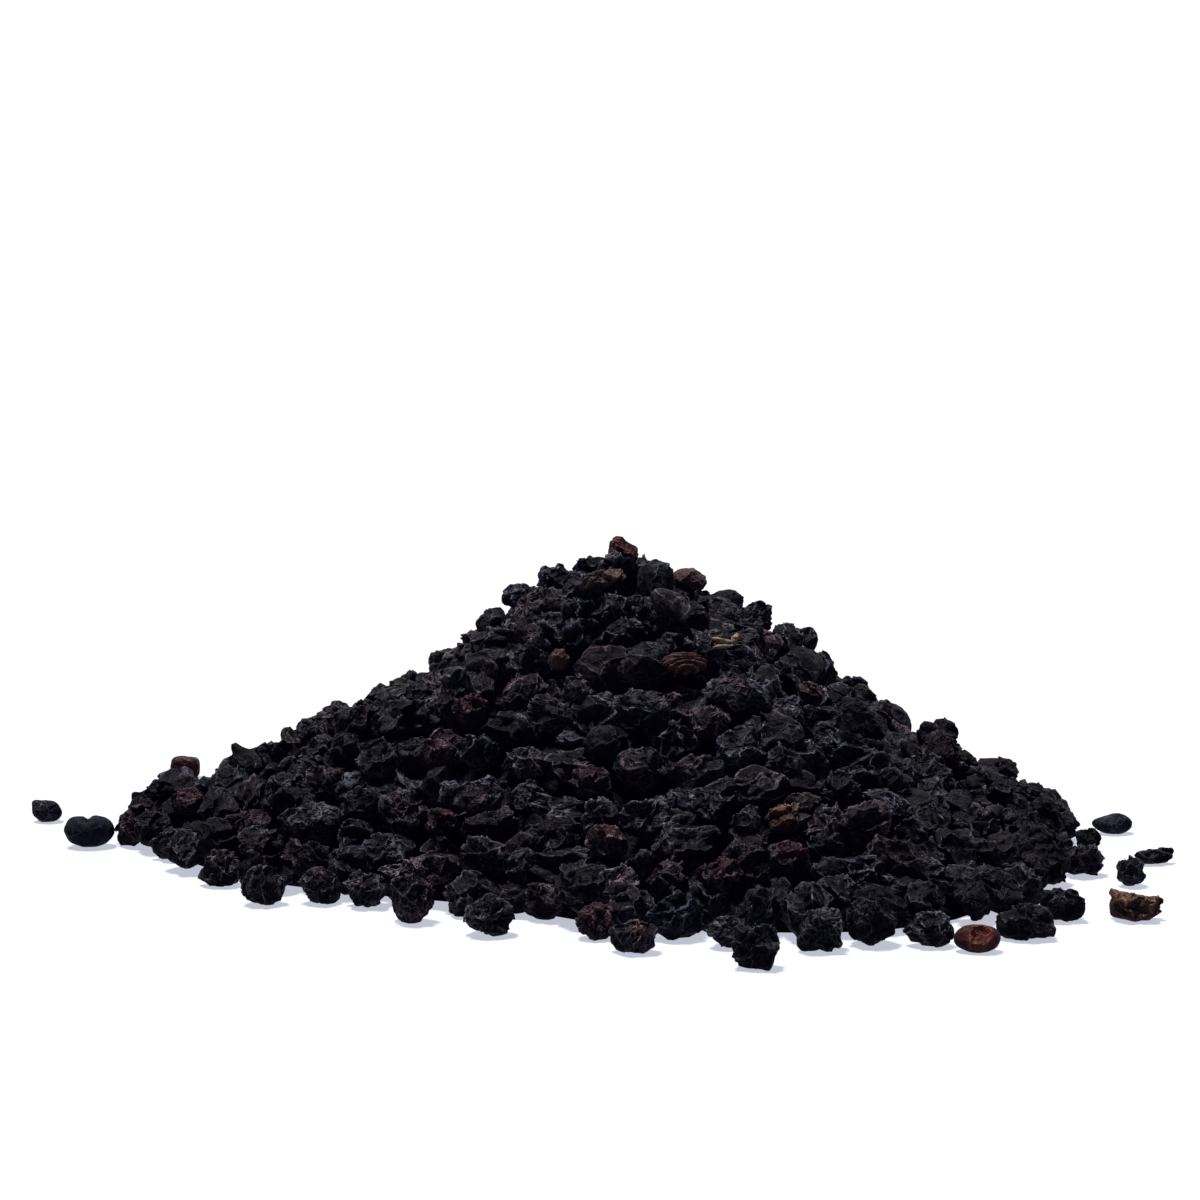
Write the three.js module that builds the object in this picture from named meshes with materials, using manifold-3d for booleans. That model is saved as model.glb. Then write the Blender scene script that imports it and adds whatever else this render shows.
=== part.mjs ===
// A heap of dried elderberries as tipped out on a table, with the loose berries that rolled off it.
// Millimetres, +Z up. The origin is the centre of the heap's footprint, on the surface it lies on,
// and -Y is the side that faces the viewer.
import * as THREE from "three";
import { mergeVertices } from "three/addons/utils/BufferGeometryUtils.js";
import Module from "manifold-3d";

const wasm = await Module();
wasm.setup();

// The heap is a cone with a rounded top and slightly hollow sides, on an uneven footprint.
const HEAP_RISE = 27; // from the centres of the lowest berries to the centre of the highest one
const LOWEST_CENTRE = 1.9; // height of a berry's centre where it lies on the table
const TOP_ROUNDING = 5.5; // radius over which the cone's point is rounded off
const HOLLOWNESS = 1.3; // 1 is a straight slope, and more sags it between top and foot
const FOOT_RADIUS = 47;
// Swells and hollows of the footprint: direction and half width in degrees, reach in mm.
const FOOT_LOBES = [
  { towards: 172, halfWidth: 16, reach: 4.5 },
  { towards: 217, halfWidth: 20, reach: -4.5 },
  { towards: 248, halfWidth: 30, reach: -13.5 },
  { towards: 284, halfWidth: 14, reach: -2.5 },
  { towards: 314, halfWidth: 14, reach: 2 },
  { towards: 0, halfWidth: 12, reach: 1.5 },
  { towards: 120, halfWidth: 40, reach: -2 },
];
// Humps and dips of the slope: place, height and radius.
const HUMPS = [
  { x: -11, y: 1, height: 1.0, radius: 4.5 },
  { x: -17, y: 0, height: -2.6, radius: 6.5 },
  { x: -35, y: 0, height: -0.6, radius: 7 },
  { x: 17, y: 3, height: 1.8, radius: 7 },
  { x: -41, y: 4, height: 1.4, radius: 7 },
  { x: 38, y: 5, height: 1.2, radius: 7 },
];

// A dried elderberry: its mean diameter, how much that varies, and how the berries lie in the heap.
const BERRY_DIAMETER = 4.3;
const BERRY_SPREAD = 0.75;
const SPACING = 1.02; // least distance of two berries, as a share of their mean diameter
const TRIALS = 24000;
const SUNK_MOST = 0.9; // how far a berry's centre may lie under the slope, and over it
const RAISED_MOST = 0.3;
const LAST_SHARE = 0.97; // the last berries' centres, as a share of the way to the foot
const LYING_SHARE = 0.42; // the height of the centre of a berry on the table, as a share of its diameter
const PLACE_SEED = 20240;
const SEARCH_MARGIN = 6; // the places tried reach this far past the mean footprint

// The forms of the berries: semi-axes as least and spread of their share of half the diameter, and bumps as
// least and spread of their height as a share of the radius. A bump's width is in radians.
const AXIS_SHARES = [[0.98, 0.16], [0.86, 0.14], [0.74, 0.2]];
const BUMPS = [[0.04, 0.12], [0.04, 0.12], [0.04, 0.12], [-0.08, -0.14], [-0.08, -0.14]];
const BUMP_WIDTH = 0.5;
const FAINT_BUMPS = 0.6; // the same bumps are this much weaker on a berry with a form of its own
const FORM_SEED = 7919;
const FORM_NUMBERS = { table: 5000, slope: 5100, outline: 5200, carriers: 1000 };

const CORE_DEPTH = 1.0; // the outer berries stand out of a core that lies this far under their centres
const CORE_RINGS = 6;
const CORE_SIDES = 20;
const CORE_INSET = 1.4; // the core ends this far inside the footprint
const CORE_RIM = 1.0; // and it is this high there
const CARRIER_SHIFT = 1.2; // an outline berry lies on one that is this much nearer to the middle
const CARRIER_DROP = 2.7; // and this much lower
const TABLE_SIZE = 400; // of the block that stands for all the room over the table
const REST_SINK = 0.15; // a berry on the table is flattened by this much where it rests
const CLEARANCE = 0.3; // gap round a berry that is a piece of its own

const HEAP_DETAIL = 0; // an icosahedron for each berry of the heap
const SINGLE_DETAIL = 1; // 80 faces for each berry that is a piece of its own

const SKINS = {
  black: new THREE.MeshStandardMaterial({ color: 0x17161a, roughness: 0.62, metalness: 0 }),
  red: new THREE.MeshStandardMaterial({ color: 0x3a161a, roughness: 0.6, metalness: 0 }),
  brown: new THREE.MeshStandardMaterial({ color: 0x4a2c20, roughness: 0.68, metalness: 0 }),
  straw: new THREE.MeshStandardMaterial({ color: 0x9a7c50, roughness: 0.8, metalness: 0 }),
};

// Berries that lie on the table, each at its own place: size is length, width and height.
// turn is about the upright axis, in degrees. blocky over 2 squares the shape off.
// bumps are horns, lobes and dents: direction, height as a share of the radius, width in radians.
const ON_TABLE = [
  { name: "far_left_berry", x: -59.1, y: 11.8, size: [3.1, 2.6, 2.4], skin: "black",
    bumps: [[[-1, 0, 0.8], 0.35, 0.4]] },
  { name: "left_smooth_berry", x: -53, y: -0.4, size: [4.9, 3.9, 3.5], skin: "black",
    bumps: [[[-0.1, -0.3, 1], -0.3, 0.3], [[0.5, 0, 0.8], 0.08, 0.5], [[-0.6, 0, 0.7], 0.08, 0.5]] },
  { name: "back_left_red_berry", x: -47.4, y: 35, size: [3.3, 2.8, 2.5], blocky: 3.5, skin: "red" },
  { name: "far_right_berry", x: 51.4, y: 6, size: [3.8, 2.6, 2.3], turn: 8, skin: "black",
    bumps: [[[-1, 0, 0.1], 0.25, 0.35]] },
  { name: "right_long_piece", x: 53.4, y: -8.2, size: [4.2, 1.9, 1.8], turn: 20, skin: "black",
    bumps: [[[-1, 0, 0.6], 0.25, 0.5], [[1, 0, 0.7], 0.2, 0.3], [[0.1, 0, 1], -0.2, 0.5]] },
  { name: "right_small_berry", x: 49.6, y: -17.6, size: [2.9, 2.8, 3.0], skin: "black",
    bumps: [[[-1, 0, 0.3], 0.2, 0.4], [[0.7, 0, -0.5], 0.15, 0.4]] },
  { name: "right_brown_husk", x: 47.7, y: -31.4, size: [4.3, 3.6, 3.1], blocky: 2.8, skin: "brown",
    bumps: [[[1, 0, 0.25], 0.42, 0.32], [[-1, 0, 0.9], 0.4, 0.25], [[-1, 0, -0.6], 0.15, 0.3]] },
  { name: "right_wedge_berry", x: 41.2, y: -31.4, size: [4.1, 3.4, 3.1], skin: "black",
    blocky: 2.8, turn: -8, bumps: [[[-1, 0, 0.8], 0.3, 0.4], [[1, 0, 0.9], -0.15, 0.5]] },
  { name: "front_red_berry", x: -1.6, y: -38.2, size: [4.0, 3.6, 3.3], skin: "red" },
  { name: "front_brown_berry", x: 1.6, y: -43.4, size: [4.3, 3.6, 3.2], skin: "black",
    bumps: [[[0.3, -0.4, 1], 0.12, 0.4], [[-1, 0, -0.4], 0.15, 0.4]] },
  { name: "front_large_berry", x: 5.4, y: -38.2, size: [5.3, 4.4, 4.7], skin: "black" },
  { name: "front_block_berry", x: 12.2, y: -48.6, size: [4.0, 3.7, 4.1], skin: "black",
    blocky: 5, turn: -14 },
  { name: "front_flat_berry", x: 10.2, y: -41.5, size: [4.4, 3.6, 3.0], skin: "black" },
  { name: "front_square_berry", x: 18.2, y: -42.6, size: [4.4, 3.9, 3.9], skin: "black",
    blocky: 3.6, turn: 6 },
  { name: "front_round_berry", x: 23.0, y: -40.6, size: [4.6, 4.3, 4.7], skin: "black" },
  { name: "front_stemmed_berry", x: 28.0, y: -41.0, size: [4.7, 3.6, 3.2], skin: "black" },
  { name: "front_oval_half", x: 32.2, y: -43.2, size: [4.1, 2.9, 2.8], turn: -6, skin: "brown",
    bumps: [[[0, -0.8, 0.45], -0.22, 0.6]] },
  { name: "front_wedge_berry", x: 36.9, y: -38.6, size: [5.2, 3.6, 3.4], blocky: 2.6, skin: "black",
    bumps: [[[1, 0, -0.45], 0.18, 0.4], [[-0.6, -1, 0.4], -0.15, 0.5]] },
  { name: "right_corner_berry", x: 45.7, y: -13.2, size: [4.3, 3.8, 3.6], skin: "black" },
  { name: "front_left_tall_berry", x: -18.6, y: -32.2, size: [4.2, 4.0, 4.8], skin: "black" },
  { name: "front_left_round_berry", x: -11.4, y: -37.0, size: [4.8, 4.0, 4.0], skin: "black" },
  { name: "left_low_berry", x: -44.2, y: -6.2, size: [4.0, 3.6, 3.2], skin: "black" },
  { name: "left_edge_berry", x: -37.6, y: -17.2, size: [4.2, 3.8, 3.7], skin: "black",
    bumps: [[[-1, 0, -0.2], 0.25, 0.35]] },
  { name: "left_front_berry", x: -33.0, y: -25.2, size: [4.2, 3.9, 4.2], skin: "black" },
  { name: "front_left_pair_1", x: -27.8, y: -24.6, size: [4.1, 3.8, 3.6], skin: "black" },
  { name: "front_left_pair_2", x: -23.3, y: -26.0, size: [4.2, 3.8, 3.6], skin: "black" },
];

// Berries of another colour, and bits of skin, that lie in the slope. lift is over the slope. In degrees,
// roll dips the right-hand end and tilt turns the top towards the viewer.
const ON_SLOPE = [
  { name: "peak_red_berry", x: 1.0, y: 0.9, lift: 0.8, size: [3.0, 2.9, 3.4], skin: "red",
    bumps: [[[-0.4, 0, 1], 0.12, 0.5], [[0.7, 0, 0.8], -0.15, 0.4]] },
  { name: "peak_brown_skin", x: -1.3, y: -4.9, lift: 1.2, size: [4.8, 2.1, 1.9], roll: -22, skin: "brown" },
  { name: "shoulder_brown_berry", x: 7.6, y: 1.3, lift: 0.9, size: [3.6, 3.2, 2.6], skin: "brown",
    roll: 14 },
  { name: "shoulder_smooth_berry", x: 5.5, y: -7.6, lift: 1.3, size: [4.5, 2.7, 2.6], skin: "black",
    roll: 27 },
  { name: "ribbed_skin", x: 6.7, y: -14.0, lift: 1.4, size: [4.4, 2.4, 2.1], skin: "brown",
    roll: 4, tilt: 30 },
  { name: "left_tan_seed", x: -5.3, y: -10.8, lift: 1.2, size: [2.2, 1.9, 2.4], tilt: 30, skin: "brown" },
  { name: "slope_red_berry_1", x: -14.0, y: -11.7, lift: 0.9, size: [3.7, 3.2, 3.7], skin: "red" },
  { name: "slope_red_berry_2", x: -17.1, y: -14.4, lift: 0.9, size: [3.8, 3.3, 3.1], skin: "red" },
  { name: "slope_red_berry_3", x: -16.5, y: -21.5, lift: 0.9, size: [3.2, 3.0, 2.9], skin: "red" },
  { name: "slope_red_berry_4", x: -2.2, y: -23.4, lift: 1.0, size: [4.2, 3.5, 3.2], skin: "red" },
  { name: "slope_red_berry_5", x: -0.8, y: -30.0, lift: 0.8, size: [4.1, 3.6, 3.8], skin: "red" },
  { name: "slope_red_berry_6", x: 9.7, y: -35.0, lift: 0.9, size: [4.1, 3.6, 3.5], skin: "red" },
  { name: "slope_red_berry_7", x: 15.9, y: -33.4, lift: 1.0, size: [4.1, 3.6, 3.6], skin: "red" },
  { name: "slope_brown_berry_1", x: 16.0, y: -29.2, lift: 1.3, size: [4.5, 3.4, 3.0], skin: "brown",
    roll: -12 },
  { name: "slope_red_berry_8", x: 19.2, y: -9.2, lift: 1.0, size: [2.8, 2.6, 2.8], skin: "red" },
  { name: "slope_red_berry_9", x: -42.5, y: -2.4, lift: 0.7, size: [4.2, 3.6, 3.0], skin: "red" },
];

// Berries of the heap that make its outline at both ends and along the top: place and size of each.
const OUTLINE_BERRIES = [
  { place: [39.2, 5.0, 6.2], size: [4.5, 4.0, 3.7], blocky: 3 },
  { place: [43.0, 5.0, 4.1], size: [4.2, 3.6, 2.7], bumps: [[[1, 0, 0.35], 0.35, 0.4]] },
  { place: [45.6, 3.0, 1.9], size: [3.7, 3.6, 3.7] },
  { place: [47.6, -2.3, 1.2], size: [2.6, 2.6, 2.4] },
  { place: [39.5, -21.0, 1.8], size: [3.7, 3.6, 3.7] },
  { place: [43.0, -9.5, 1.8], size: [4.2, 3.8, 3.7] },
  { place: [-48.2, 4.4, 1.5], size: [4.1, 3.5, 3.2], bumps: [[[-1, 0, -0.2], 0.25, 0.4]] },
  { place: [-46.4, 3.4, 4.5], size: [3.4, 3.2, 3.2] },
  { place: [-44.4, 6.5, 4.4], size: [3.8, 3.6, 3.0] },
  { place: [-41.3, 4.0, 4.7], size: [3.5, 3.3, 3.2] },
  { place: [-37.0, 6.0, 7.0], size: [5.2, 4.2, 3.9], bumps: [[[-0.55, 0, 0.85], 0.5, 0.25]] },
  { place: [-28.3, 6.0, 12.1], size: [3.6, 3.5, 3.5] },
  { place: [-24.7, 6.0, 12.3], size: [3.6, 3.5, 3.2] },
  { place: [-17.2, 6.0, 17.7], size: [3.3, 3.3, 3.2] },
  { place: [-12.3, 2.5, 22.4], size: [3.4, 3.4, 3.4] },
  { place: [-9.1, 1.5, 25.1], size: [4.7, 3.5, 2.9] },
  { place: [-5.6, 1.4, 26.9], size: [3.5, 3.2, 2.8] },
  { place: [-2.4, 1.0, 27.9], size: [3.8, 3.6, 3.2] },
  { place: [4.0, 1.1, 27.5], size: [3.9, 3.5, 3.1] },
  { place: [10.9, 2.0, 24.3], size: [4.3, 3.8, 3.3] },
  { place: [14.4, 3.2, 22.9], size: [3.3, 3.4, 3.5] },
  { place: [18.4, 5.7, 19.7], size: [4.7, 4.1, 3.7], bumps: [[[0.8, 0, 0.6], 0.15, 0.4]] },
  { place: [24.6, 6.0, 14.7], size: [3.6, 3.6, 3.4] },
  { place: [33.1, 6.0, 10.2], size: [4.3, 3.9, 3.7] },
  { place: [-6.5, -31.2, 1.7], size: [4.2, 3.8, 3.4] },
];

// Bits of berry stalk that cross on the right of the slope: length, thickness, turn and rise in degrees.
const STALK_PLACE = { x: 11.0, y: -11.0, lift: 2.0 };
const STALKS = [
  { length: 3.4, thickness: 0.75, turn: 4, rise: 0, offset: [0, 0, 0] },
  { length: 2.9, thickness: 0.6, turn: -24, rise: 6, offset: [-0.5, -0.5, -0.1] },
  { length: 1.7, thickness: 0.6, turn: 62, rise: 32, offset: [1.0, 0.1, 0.35] },
];
const STALK_SIDES = 6;
const STALK_TAPER = [0.7, 1, 1.25]; // at the thin end, past the middle and at the thick end

const degrees = Math.PI / 180;

// Random numbers from 0 to 1 that are the same in every run.
function randomFrom(seed) {
  let state = seed >>> 0;
  return () => {
    state = (state + 0x6d2b79f5) >>> 0;
    let t = state;
    t = Math.imul(t ^ (t >>> 15), t | 1);
    t ^= t + Math.imul(t ^ (t >>> 7), t | 61);
    return ((t ^ (t >>> 14)) >>> 0) / 4294967296;
  };
}

function footRadius(x, y) {
  const angle = Math.atan2(y, x) / degrees;
  return FOOT_LOBES.reduce((radius, lobe) => {
    const off = ((((angle - lobe.towards) % 360) + 540) % 360) - 180;
    return radius + lobe.reach * Math.exp(-((off / lobe.halfWidth) ** 2));
  }, FOOT_RADIUS);
}

// The height of the berries' centres at a place on the slope, and its share of the way to the foot.
function slopeAt(x, y) {
  const foot = footRadius(x, y);
  const share = Math.hypot(x, y) / foot;
  const round = TOP_ROUNDING / foot;
  const fall = (Math.hypot(share, round) - round) / (Math.hypot(1, round) - round);
  const humps = HUMPS.reduce(
    (sum, h) => sum + h.height * Math.exp(-((x - h.x) ** 2 + (y - h.y) ** 2) / h.radius ** 2),
    0,
  );
  const cone = HEAP_RISE * Math.max(0, 1 - fall) ** HOLLOWNESS;
  return { share, height: LOWEST_CENTRE + cone + humps * Math.max(0, 1 - share ** 4) };
}

// Each berry's own random bumps: three seeds that swell the skin and two dents between them.
function randomBumps(random) {
  return BUMPS.map(([least, spread]) => {
    const z = 2 * random() - 1;
    const around = 2 * Math.PI * random();
    const flat = Math.sqrt(1 - z * z);
    return [[flat * Math.cos(around), flat * Math.sin(around), z], least + spread * random(), BUMP_WIDTH];
  });
}

// The form of a berry of the heap, drawn from its index: semi-axes, turn and bumps.
function randomForm(index, diameter) {
  const random = randomFrom(FORM_SEED * (index + 1));
  const axes = AXIS_SHARES.map(([least, spread]) => ((least + spread * random()) * diameter) / 2);
  const [share, first, second] = [random(), 2 * Math.PI * random(), 2 * Math.PI * random()];
  const turn = new THREE.Quaternion(
    Math.sqrt(1 - share) * Math.sin(first),
    Math.sqrt(1 - share) * Math.cos(first),
    Math.sqrt(share) * Math.sin(second),
    Math.sqrt(share) * Math.cos(second),
  );
  return { axes, turn, blocky: 2, bumps: randomBumps(random) };
}

// The form of a berry with a place of its own. Its random bumps are weaker than its own ones.
function placedForm(berry, number) {
  const random = randomFrom(FORM_SEED * number);
  const own = (berry.bumps || []).map(([towards, height, width]) => [
    new THREE.Vector3(...towards).normalize().toArray(),
    height,
    width,
  ]);
  const faint = randomBumps(random).map(([towards, height, width]) => {
    return [towards, FAINT_BUMPS * height, width];
  });
  const turn = new THREE.Quaternion().setFromEuler(
    new THREE.Euler((berry.tilt || 0) * degrees, (berry.roll || 0) * degrees, (berry.turn || 0) * degrees),
  );
  return { axes: berry.size.map((s) => s / 2), turn, blocky: berry.blocky || 2, bumps: [...own, ...faint] };
}

// A closed skin round a centre. Its radius in each direction is that of a superellipsoid, times 1 plus the
// bumps, each of which fades as a bell curve of the angle from its own direction.
function berryGeometry(form, centre, detail, grow = 0) {
  const sphere = new THREE.IcosahedronGeometry(1, detail);
  sphere.deleteAttribute("normal");
  sphere.deleteAttribute("uv");
  const geometry = mergeVertices(sphere, 1e-4);
  const place = geometry.getAttribute("position");
  const towards = new THREE.Vector3();
  const [a, b, c] = form.axes;
  for (let i = 0; i < place.count; i++) {
    towards.fromBufferAttribute(place, i).normalize();
    const power =
      Math.abs(towards.x / a) ** form.blocky +
      Math.abs(towards.y / b) ** form.blocky +
      Math.abs(towards.z / c) ** form.blocky;
    const swell = form.bumps.reduce((sum, [axis, height, width]) => {
      const cosine = towards.x * axis[0] + towards.y * axis[1] + towards.z * axis[2];
      return sum + height * Math.exp((cosine - 1) / (width * width * 0.5));
    }, 1);
    towards.multiplyScalar(power ** (-1 / form.blocky) * swell + grow);
    towards.applyQuaternion(form.turn).add(centre);
    place.setXYZ(i, towards.x, towards.y, towards.z);
  }
  return geometry;
}

function solidOf(geometry) {
  return new wasm.Manifold(
    new wasm.Mesh({
      numProp: 3,
      vertProperties: new Float32Array(geometry.getAttribute("position").array),
      triVerts: new Uint32Array(geometry.index.array),
    }),
  );
}

function geometryOf(solid) {
  const mesh = solid.getMesh();
  return new THREE.BufferGeometry()
    .setAttribute("position", new THREE.BufferAttribute(mesh.vertProperties, 3))
    .setIndex(new THREE.BufferAttribute(mesh.triVerts, 1));
}

// Everything over the table's surface, as one large block.
function overTable() {
  const block = new THREE.BoxGeometry(TABLE_SIZE, TABLE_SIZE, TABLE_SIZE).translate(0, 0, TABLE_SIZE / 2);
  block.deleteAttribute("normal");
  block.deleteAttribute("uv");
  return solidOf(mergeVertices(block, 1e-4));
}

// The biggest of a solid's bodies: scraps are dropped and hollows sealed inside it are filled.
function biggest(solid) {
  return solid.decompose().reduce((most, body) => (body.volume() > most.volume() ? body : most));
}

// Centre height at which a form's lowest point is REST_SINK under the table.
function restingHeight(form, detail) {
  const geometry = berryGeometry(form, new THREE.Vector3(), detail);
  geometry.computeBoundingBox();
  return -geometry.boundingBox.min.z - REST_SINK;
}

function meanDiameter({ size }) {
  return (size[0] + size[1] + size[2]) / 3;
}

function placedBerries() {
  const table = ON_TABLE.map((berry, index) => {
    const form = placedForm(berry, FORM_NUMBERS.table + index);
    const centre = new THREE.Vector3(berry.x, berry.y, restingHeight(form, SINGLE_DETAIL));
    return { ...berry, form, centre, diameter: meanDiameter(berry) };
  });
  const slope = ON_SLOPE.map((berry, index) => {
    const form = placedForm(berry, FORM_NUMBERS.slope + index);
    const centre = new THREE.Vector3(berry.x, berry.y, slopeAt(berry.x, berry.y).height + berry.lift);
    return { ...berry, form, centre, diameter: meanDiameter(berry) };
  });
  return [...table, ...slope];
}

// The berries of the outline, and under each one that is off the table the berry that carries it.
function outlineBerries() {
  const outline = OUTLINE_BERRIES.map((berry, index) => ({
    centre: new THREE.Vector3(...berry.place),
    form: placedForm(berry, FORM_NUMBERS.outline + index),
    diameter: meanDiameter(berry),
  }));
  const carriers = outline
    .filter((berry) => berry.centre.z > BERRY_DIAMETER / 2)
    .map((berry, index) => {
      const inwards = new THREE.Vector3(-berry.centre.x, -berry.centre.y, 0).setLength(CARRIER_SHIFT);
      const centre = berry.centre.clone().add(inwards);
      centre.z = Math.max(centre.z - CARRIER_DROP, LOWEST_CENTRE);
      const form = randomForm(FORM_NUMBERS.carriers + index, BERRY_DIAMETER);
      return { centre, form, diameter: BERRY_DIAMETER };
    });
  return [...outline, ...carriers];
}

// Berries at random places on the slope, none nearer to another than SPACING lets it lie.
function heapBerries(placed, outline) {
  const random = randomFrom(PLACE_SEED);
  const reach = FOOT_RADIUS + SEARCH_MARGIN;
  const found = [...outline];
  const near = [...placed, ...outline];
  for (let trial = 0; trial < TRIALS; trial++) {
    const x = reach * (2 * random() - 1);
    const y = reach * (2 * random() - 1);
    const sink = random();
    const diameter = BERRY_DIAMETER + BERRY_SPREAD * (random() + random() - 1);
    const { share, height } = slopeAt(x, y);
    if (share > LAST_SHARE) continue;
    const lowest = LYING_SHARE * diameter - REST_SINK;
    const z = Math.max(height + RAISED_MOST - (SUNK_MOST + RAISED_MOST) * sink, lowest);
    const centre = new THREE.Vector3(x, y, z);
    const clear = near.every(
      (other) => other.centre.distanceTo(centre) > (SPACING * (other.diameter + diameter)) / 2,
    );
    if (!clear) continue;
    found.push({ centre, form: randomForm(found.length, diameter) });
    near.push({ centre, diameter });
  }
  return found;
}

// The inner heap as a closed solid: rings of points under the slope, a flat underside and one middle point.
function coreSolid() {
  const points = [0, 0, slopeAt(0, 0).height - CORE_DEPTH];
  for (let ring = 1; ring <= CORE_RINGS; ring++)
    for (let side = 0; side < CORE_SIDES; side++) {
      const angle = (2 * Math.PI * side) / CORE_SIDES;
      const reach = (footRadius(Math.cos(angle), Math.sin(angle)) - CORE_INSET) * (ring / CORE_RINGS);
      const [x, y] = [reach * Math.cos(angle), reach * Math.sin(angle)];
      points.push(x, y, ring < CORE_RINGS ? slopeAt(x, y).height - CORE_DEPTH : CORE_RIM);
    }
  const foot = points.length / 3;
  const outer = foot - CORE_SIDES;
  for (let side = 0; side < CORE_SIDES; side++)
    points.push(points[3 * (outer + side)], points[3 * (outer + side) + 1], 0);
  const middle = points.length / 3;
  points.push(0, 0, 0);
  const faces = [];
  for (let side = 0; side < CORE_SIDES; side++) {
    const next = (side + 1) % CORE_SIDES;
    faces.push(0, 1 + side, 1 + next);
    for (let ring = 1; ring < CORE_RINGS; ring++) {
      const inner = 1 + (ring - 1) * CORE_SIDES;
      const wider = inner + CORE_SIDES;
      faces.push(inner + side, wider + side, wider + next, inner + side, wider + next, inner + next);
    }
    faces.push(outer + side, foot + side, foot + next, outer + side, foot + next, outer + next);
    faces.push(middle, foot + next, foot + side);
  }
  const geometry = new THREE.BufferGeometry()
    .setAttribute("position", new THREE.Float32BufferAttribute(points, 3))
    .setIndex(faces);
  return solidOf(geometry);
}

function heapSolid(berries, pockets, table) {
  const joined = berries.reduce(
    (sum, berry) => sum.add(solidOf(berryGeometry(berry.form, berry.centre, HEAP_DETAIL))),
    coreSolid(),
  );
  const cut = pockets.reduce((sum, pocket) => sum.subtract(pocket), joined);
  return biggest(cut.intersect(table));
}

// A stalk is a thin prism with a thicker end, turned and raised about the place where the stalks cross.
function stalkSolid(stalk, grow) {
  const radius = stalk.thickness / 2 + grow;
  const length = stalk.length + 2 * grow;
  const [thin, middle, thick] = STALK_TAPER;
  const profile = [
    new THREE.Vector2(0, -length / 2),
    new THREE.Vector2(radius * thin, -length / 2),
    new THREE.Vector2(radius * middle, length / 4),
    new THREE.Vector2(radius * thick, length / 2),
    new THREE.Vector2(0, length / 2),
  ];
  const prism = new THREE.LatheGeometry(profile, STALK_SIDES);
  prism.deleteAttribute("normal");
  prism.deleteAttribute("uv");
  prism.rotateZ(-Math.PI / 2).rotateY(-stalk.rise * degrees).rotateZ(stalk.turn * degrees);
  const height = slopeAt(STALK_PLACE.x, STALK_PLACE.y).height + STALK_PLACE.lift;
  const [x, y, z] = stalk.offset;
  prism.translate(STALK_PLACE.x + x, STALK_PLACE.y + y, height + z);
  return solidOf(mergeVertices(prism, 1e-4));
}

function stalksSolid(grow = 0) {
  return STALKS.map((stalk) => stalkSolid(stalk, grow)).reduce((sum, solid) => sum.add(solid));
}

function meshOf(name, solid, skin) {
  const mesh = new THREE.Mesh(geometryOf(solid), SKINS[skin]);
  mesh.name = name;
  return mesh;
}

const elderberries = new THREE.Group();
const table = overTable();
const placed = placedBerries();
const heaped = heapBerries(placed, outlineBerries());
const pockets = placed.map((b) => solidOf(berryGeometry(b.form, b.centre, SINGLE_DETAIL, CLEARANCE)));
const heap = heapSolid(heaped, [...pockets, stalksSolid(CLEARANCE)], table);
elderberries.add(meshOf("berry_heap", heap, "black"));
for (const berry of placed) {
  const skin = solidOf(berryGeometry(berry.form, berry.centre, SINGLE_DETAIL));
  elderberries.add(meshOf(berry.name, skin.intersect(table), berry.skin));
}
elderberries.add(meshOf("stalk_bits", stalksSolid(), "straw"));

export default elderberries;
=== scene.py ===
"""A heap of dried elderberries on a white table, with the loose berries that rolled off it.

Every berry is a closed skin, worked out on a sphere of directions: a swollen ellipsoid whose skin has
sunk in between thin ridges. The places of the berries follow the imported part. Lengths are in millimetres
while the berries are worked out, and in metres in the meshes.
"""

import bpy
import numpy as np
from mathutils import Matrix, Vector


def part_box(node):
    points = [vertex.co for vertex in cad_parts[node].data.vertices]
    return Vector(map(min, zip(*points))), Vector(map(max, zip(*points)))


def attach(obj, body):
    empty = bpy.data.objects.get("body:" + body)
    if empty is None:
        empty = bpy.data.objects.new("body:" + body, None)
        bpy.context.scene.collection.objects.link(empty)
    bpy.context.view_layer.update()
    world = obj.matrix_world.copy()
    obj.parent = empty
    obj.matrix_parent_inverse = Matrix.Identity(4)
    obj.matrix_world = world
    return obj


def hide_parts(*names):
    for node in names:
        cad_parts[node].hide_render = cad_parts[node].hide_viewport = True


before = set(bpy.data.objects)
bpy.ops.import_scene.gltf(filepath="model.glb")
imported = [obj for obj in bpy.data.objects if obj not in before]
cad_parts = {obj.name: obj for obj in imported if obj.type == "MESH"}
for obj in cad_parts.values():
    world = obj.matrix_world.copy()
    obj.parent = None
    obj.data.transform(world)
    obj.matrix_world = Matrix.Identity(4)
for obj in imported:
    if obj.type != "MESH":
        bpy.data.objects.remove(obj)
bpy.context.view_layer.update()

MM = 0.001
DEGREES = np.pi / 180

# The heap's form and its berries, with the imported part's values, in mm.
HEAP_RISE = 27.0
LOWEST_CENTRE = 1.9
TOP_ROUNDING = 5.5
HOLLOWNESS = 1.3
FOOT_RADIUS = 47.0
# Swells and hollows of the footprint: direction and half width in degrees, and reach.
FOOT_LOBES = [
    (172, 16, 4.5), (217, 20, -4.5), (248, 30, -13.5), (284, 14, -2.5), (314, 14, 2), (0, 12, 1.5), (120, 40, -2),
]
# Humps and dips of the slope: place, height and radius.
HUMPS = [
    (-11, 1, 1.0, 4.5), (-17, 0, -2.6, 6.5), (-35, 0, -0.6, 7), (17, 3, 1.8, 7), (-41, 4, 1.4, 7), (38, 5, 1.2, 7),
]
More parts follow.
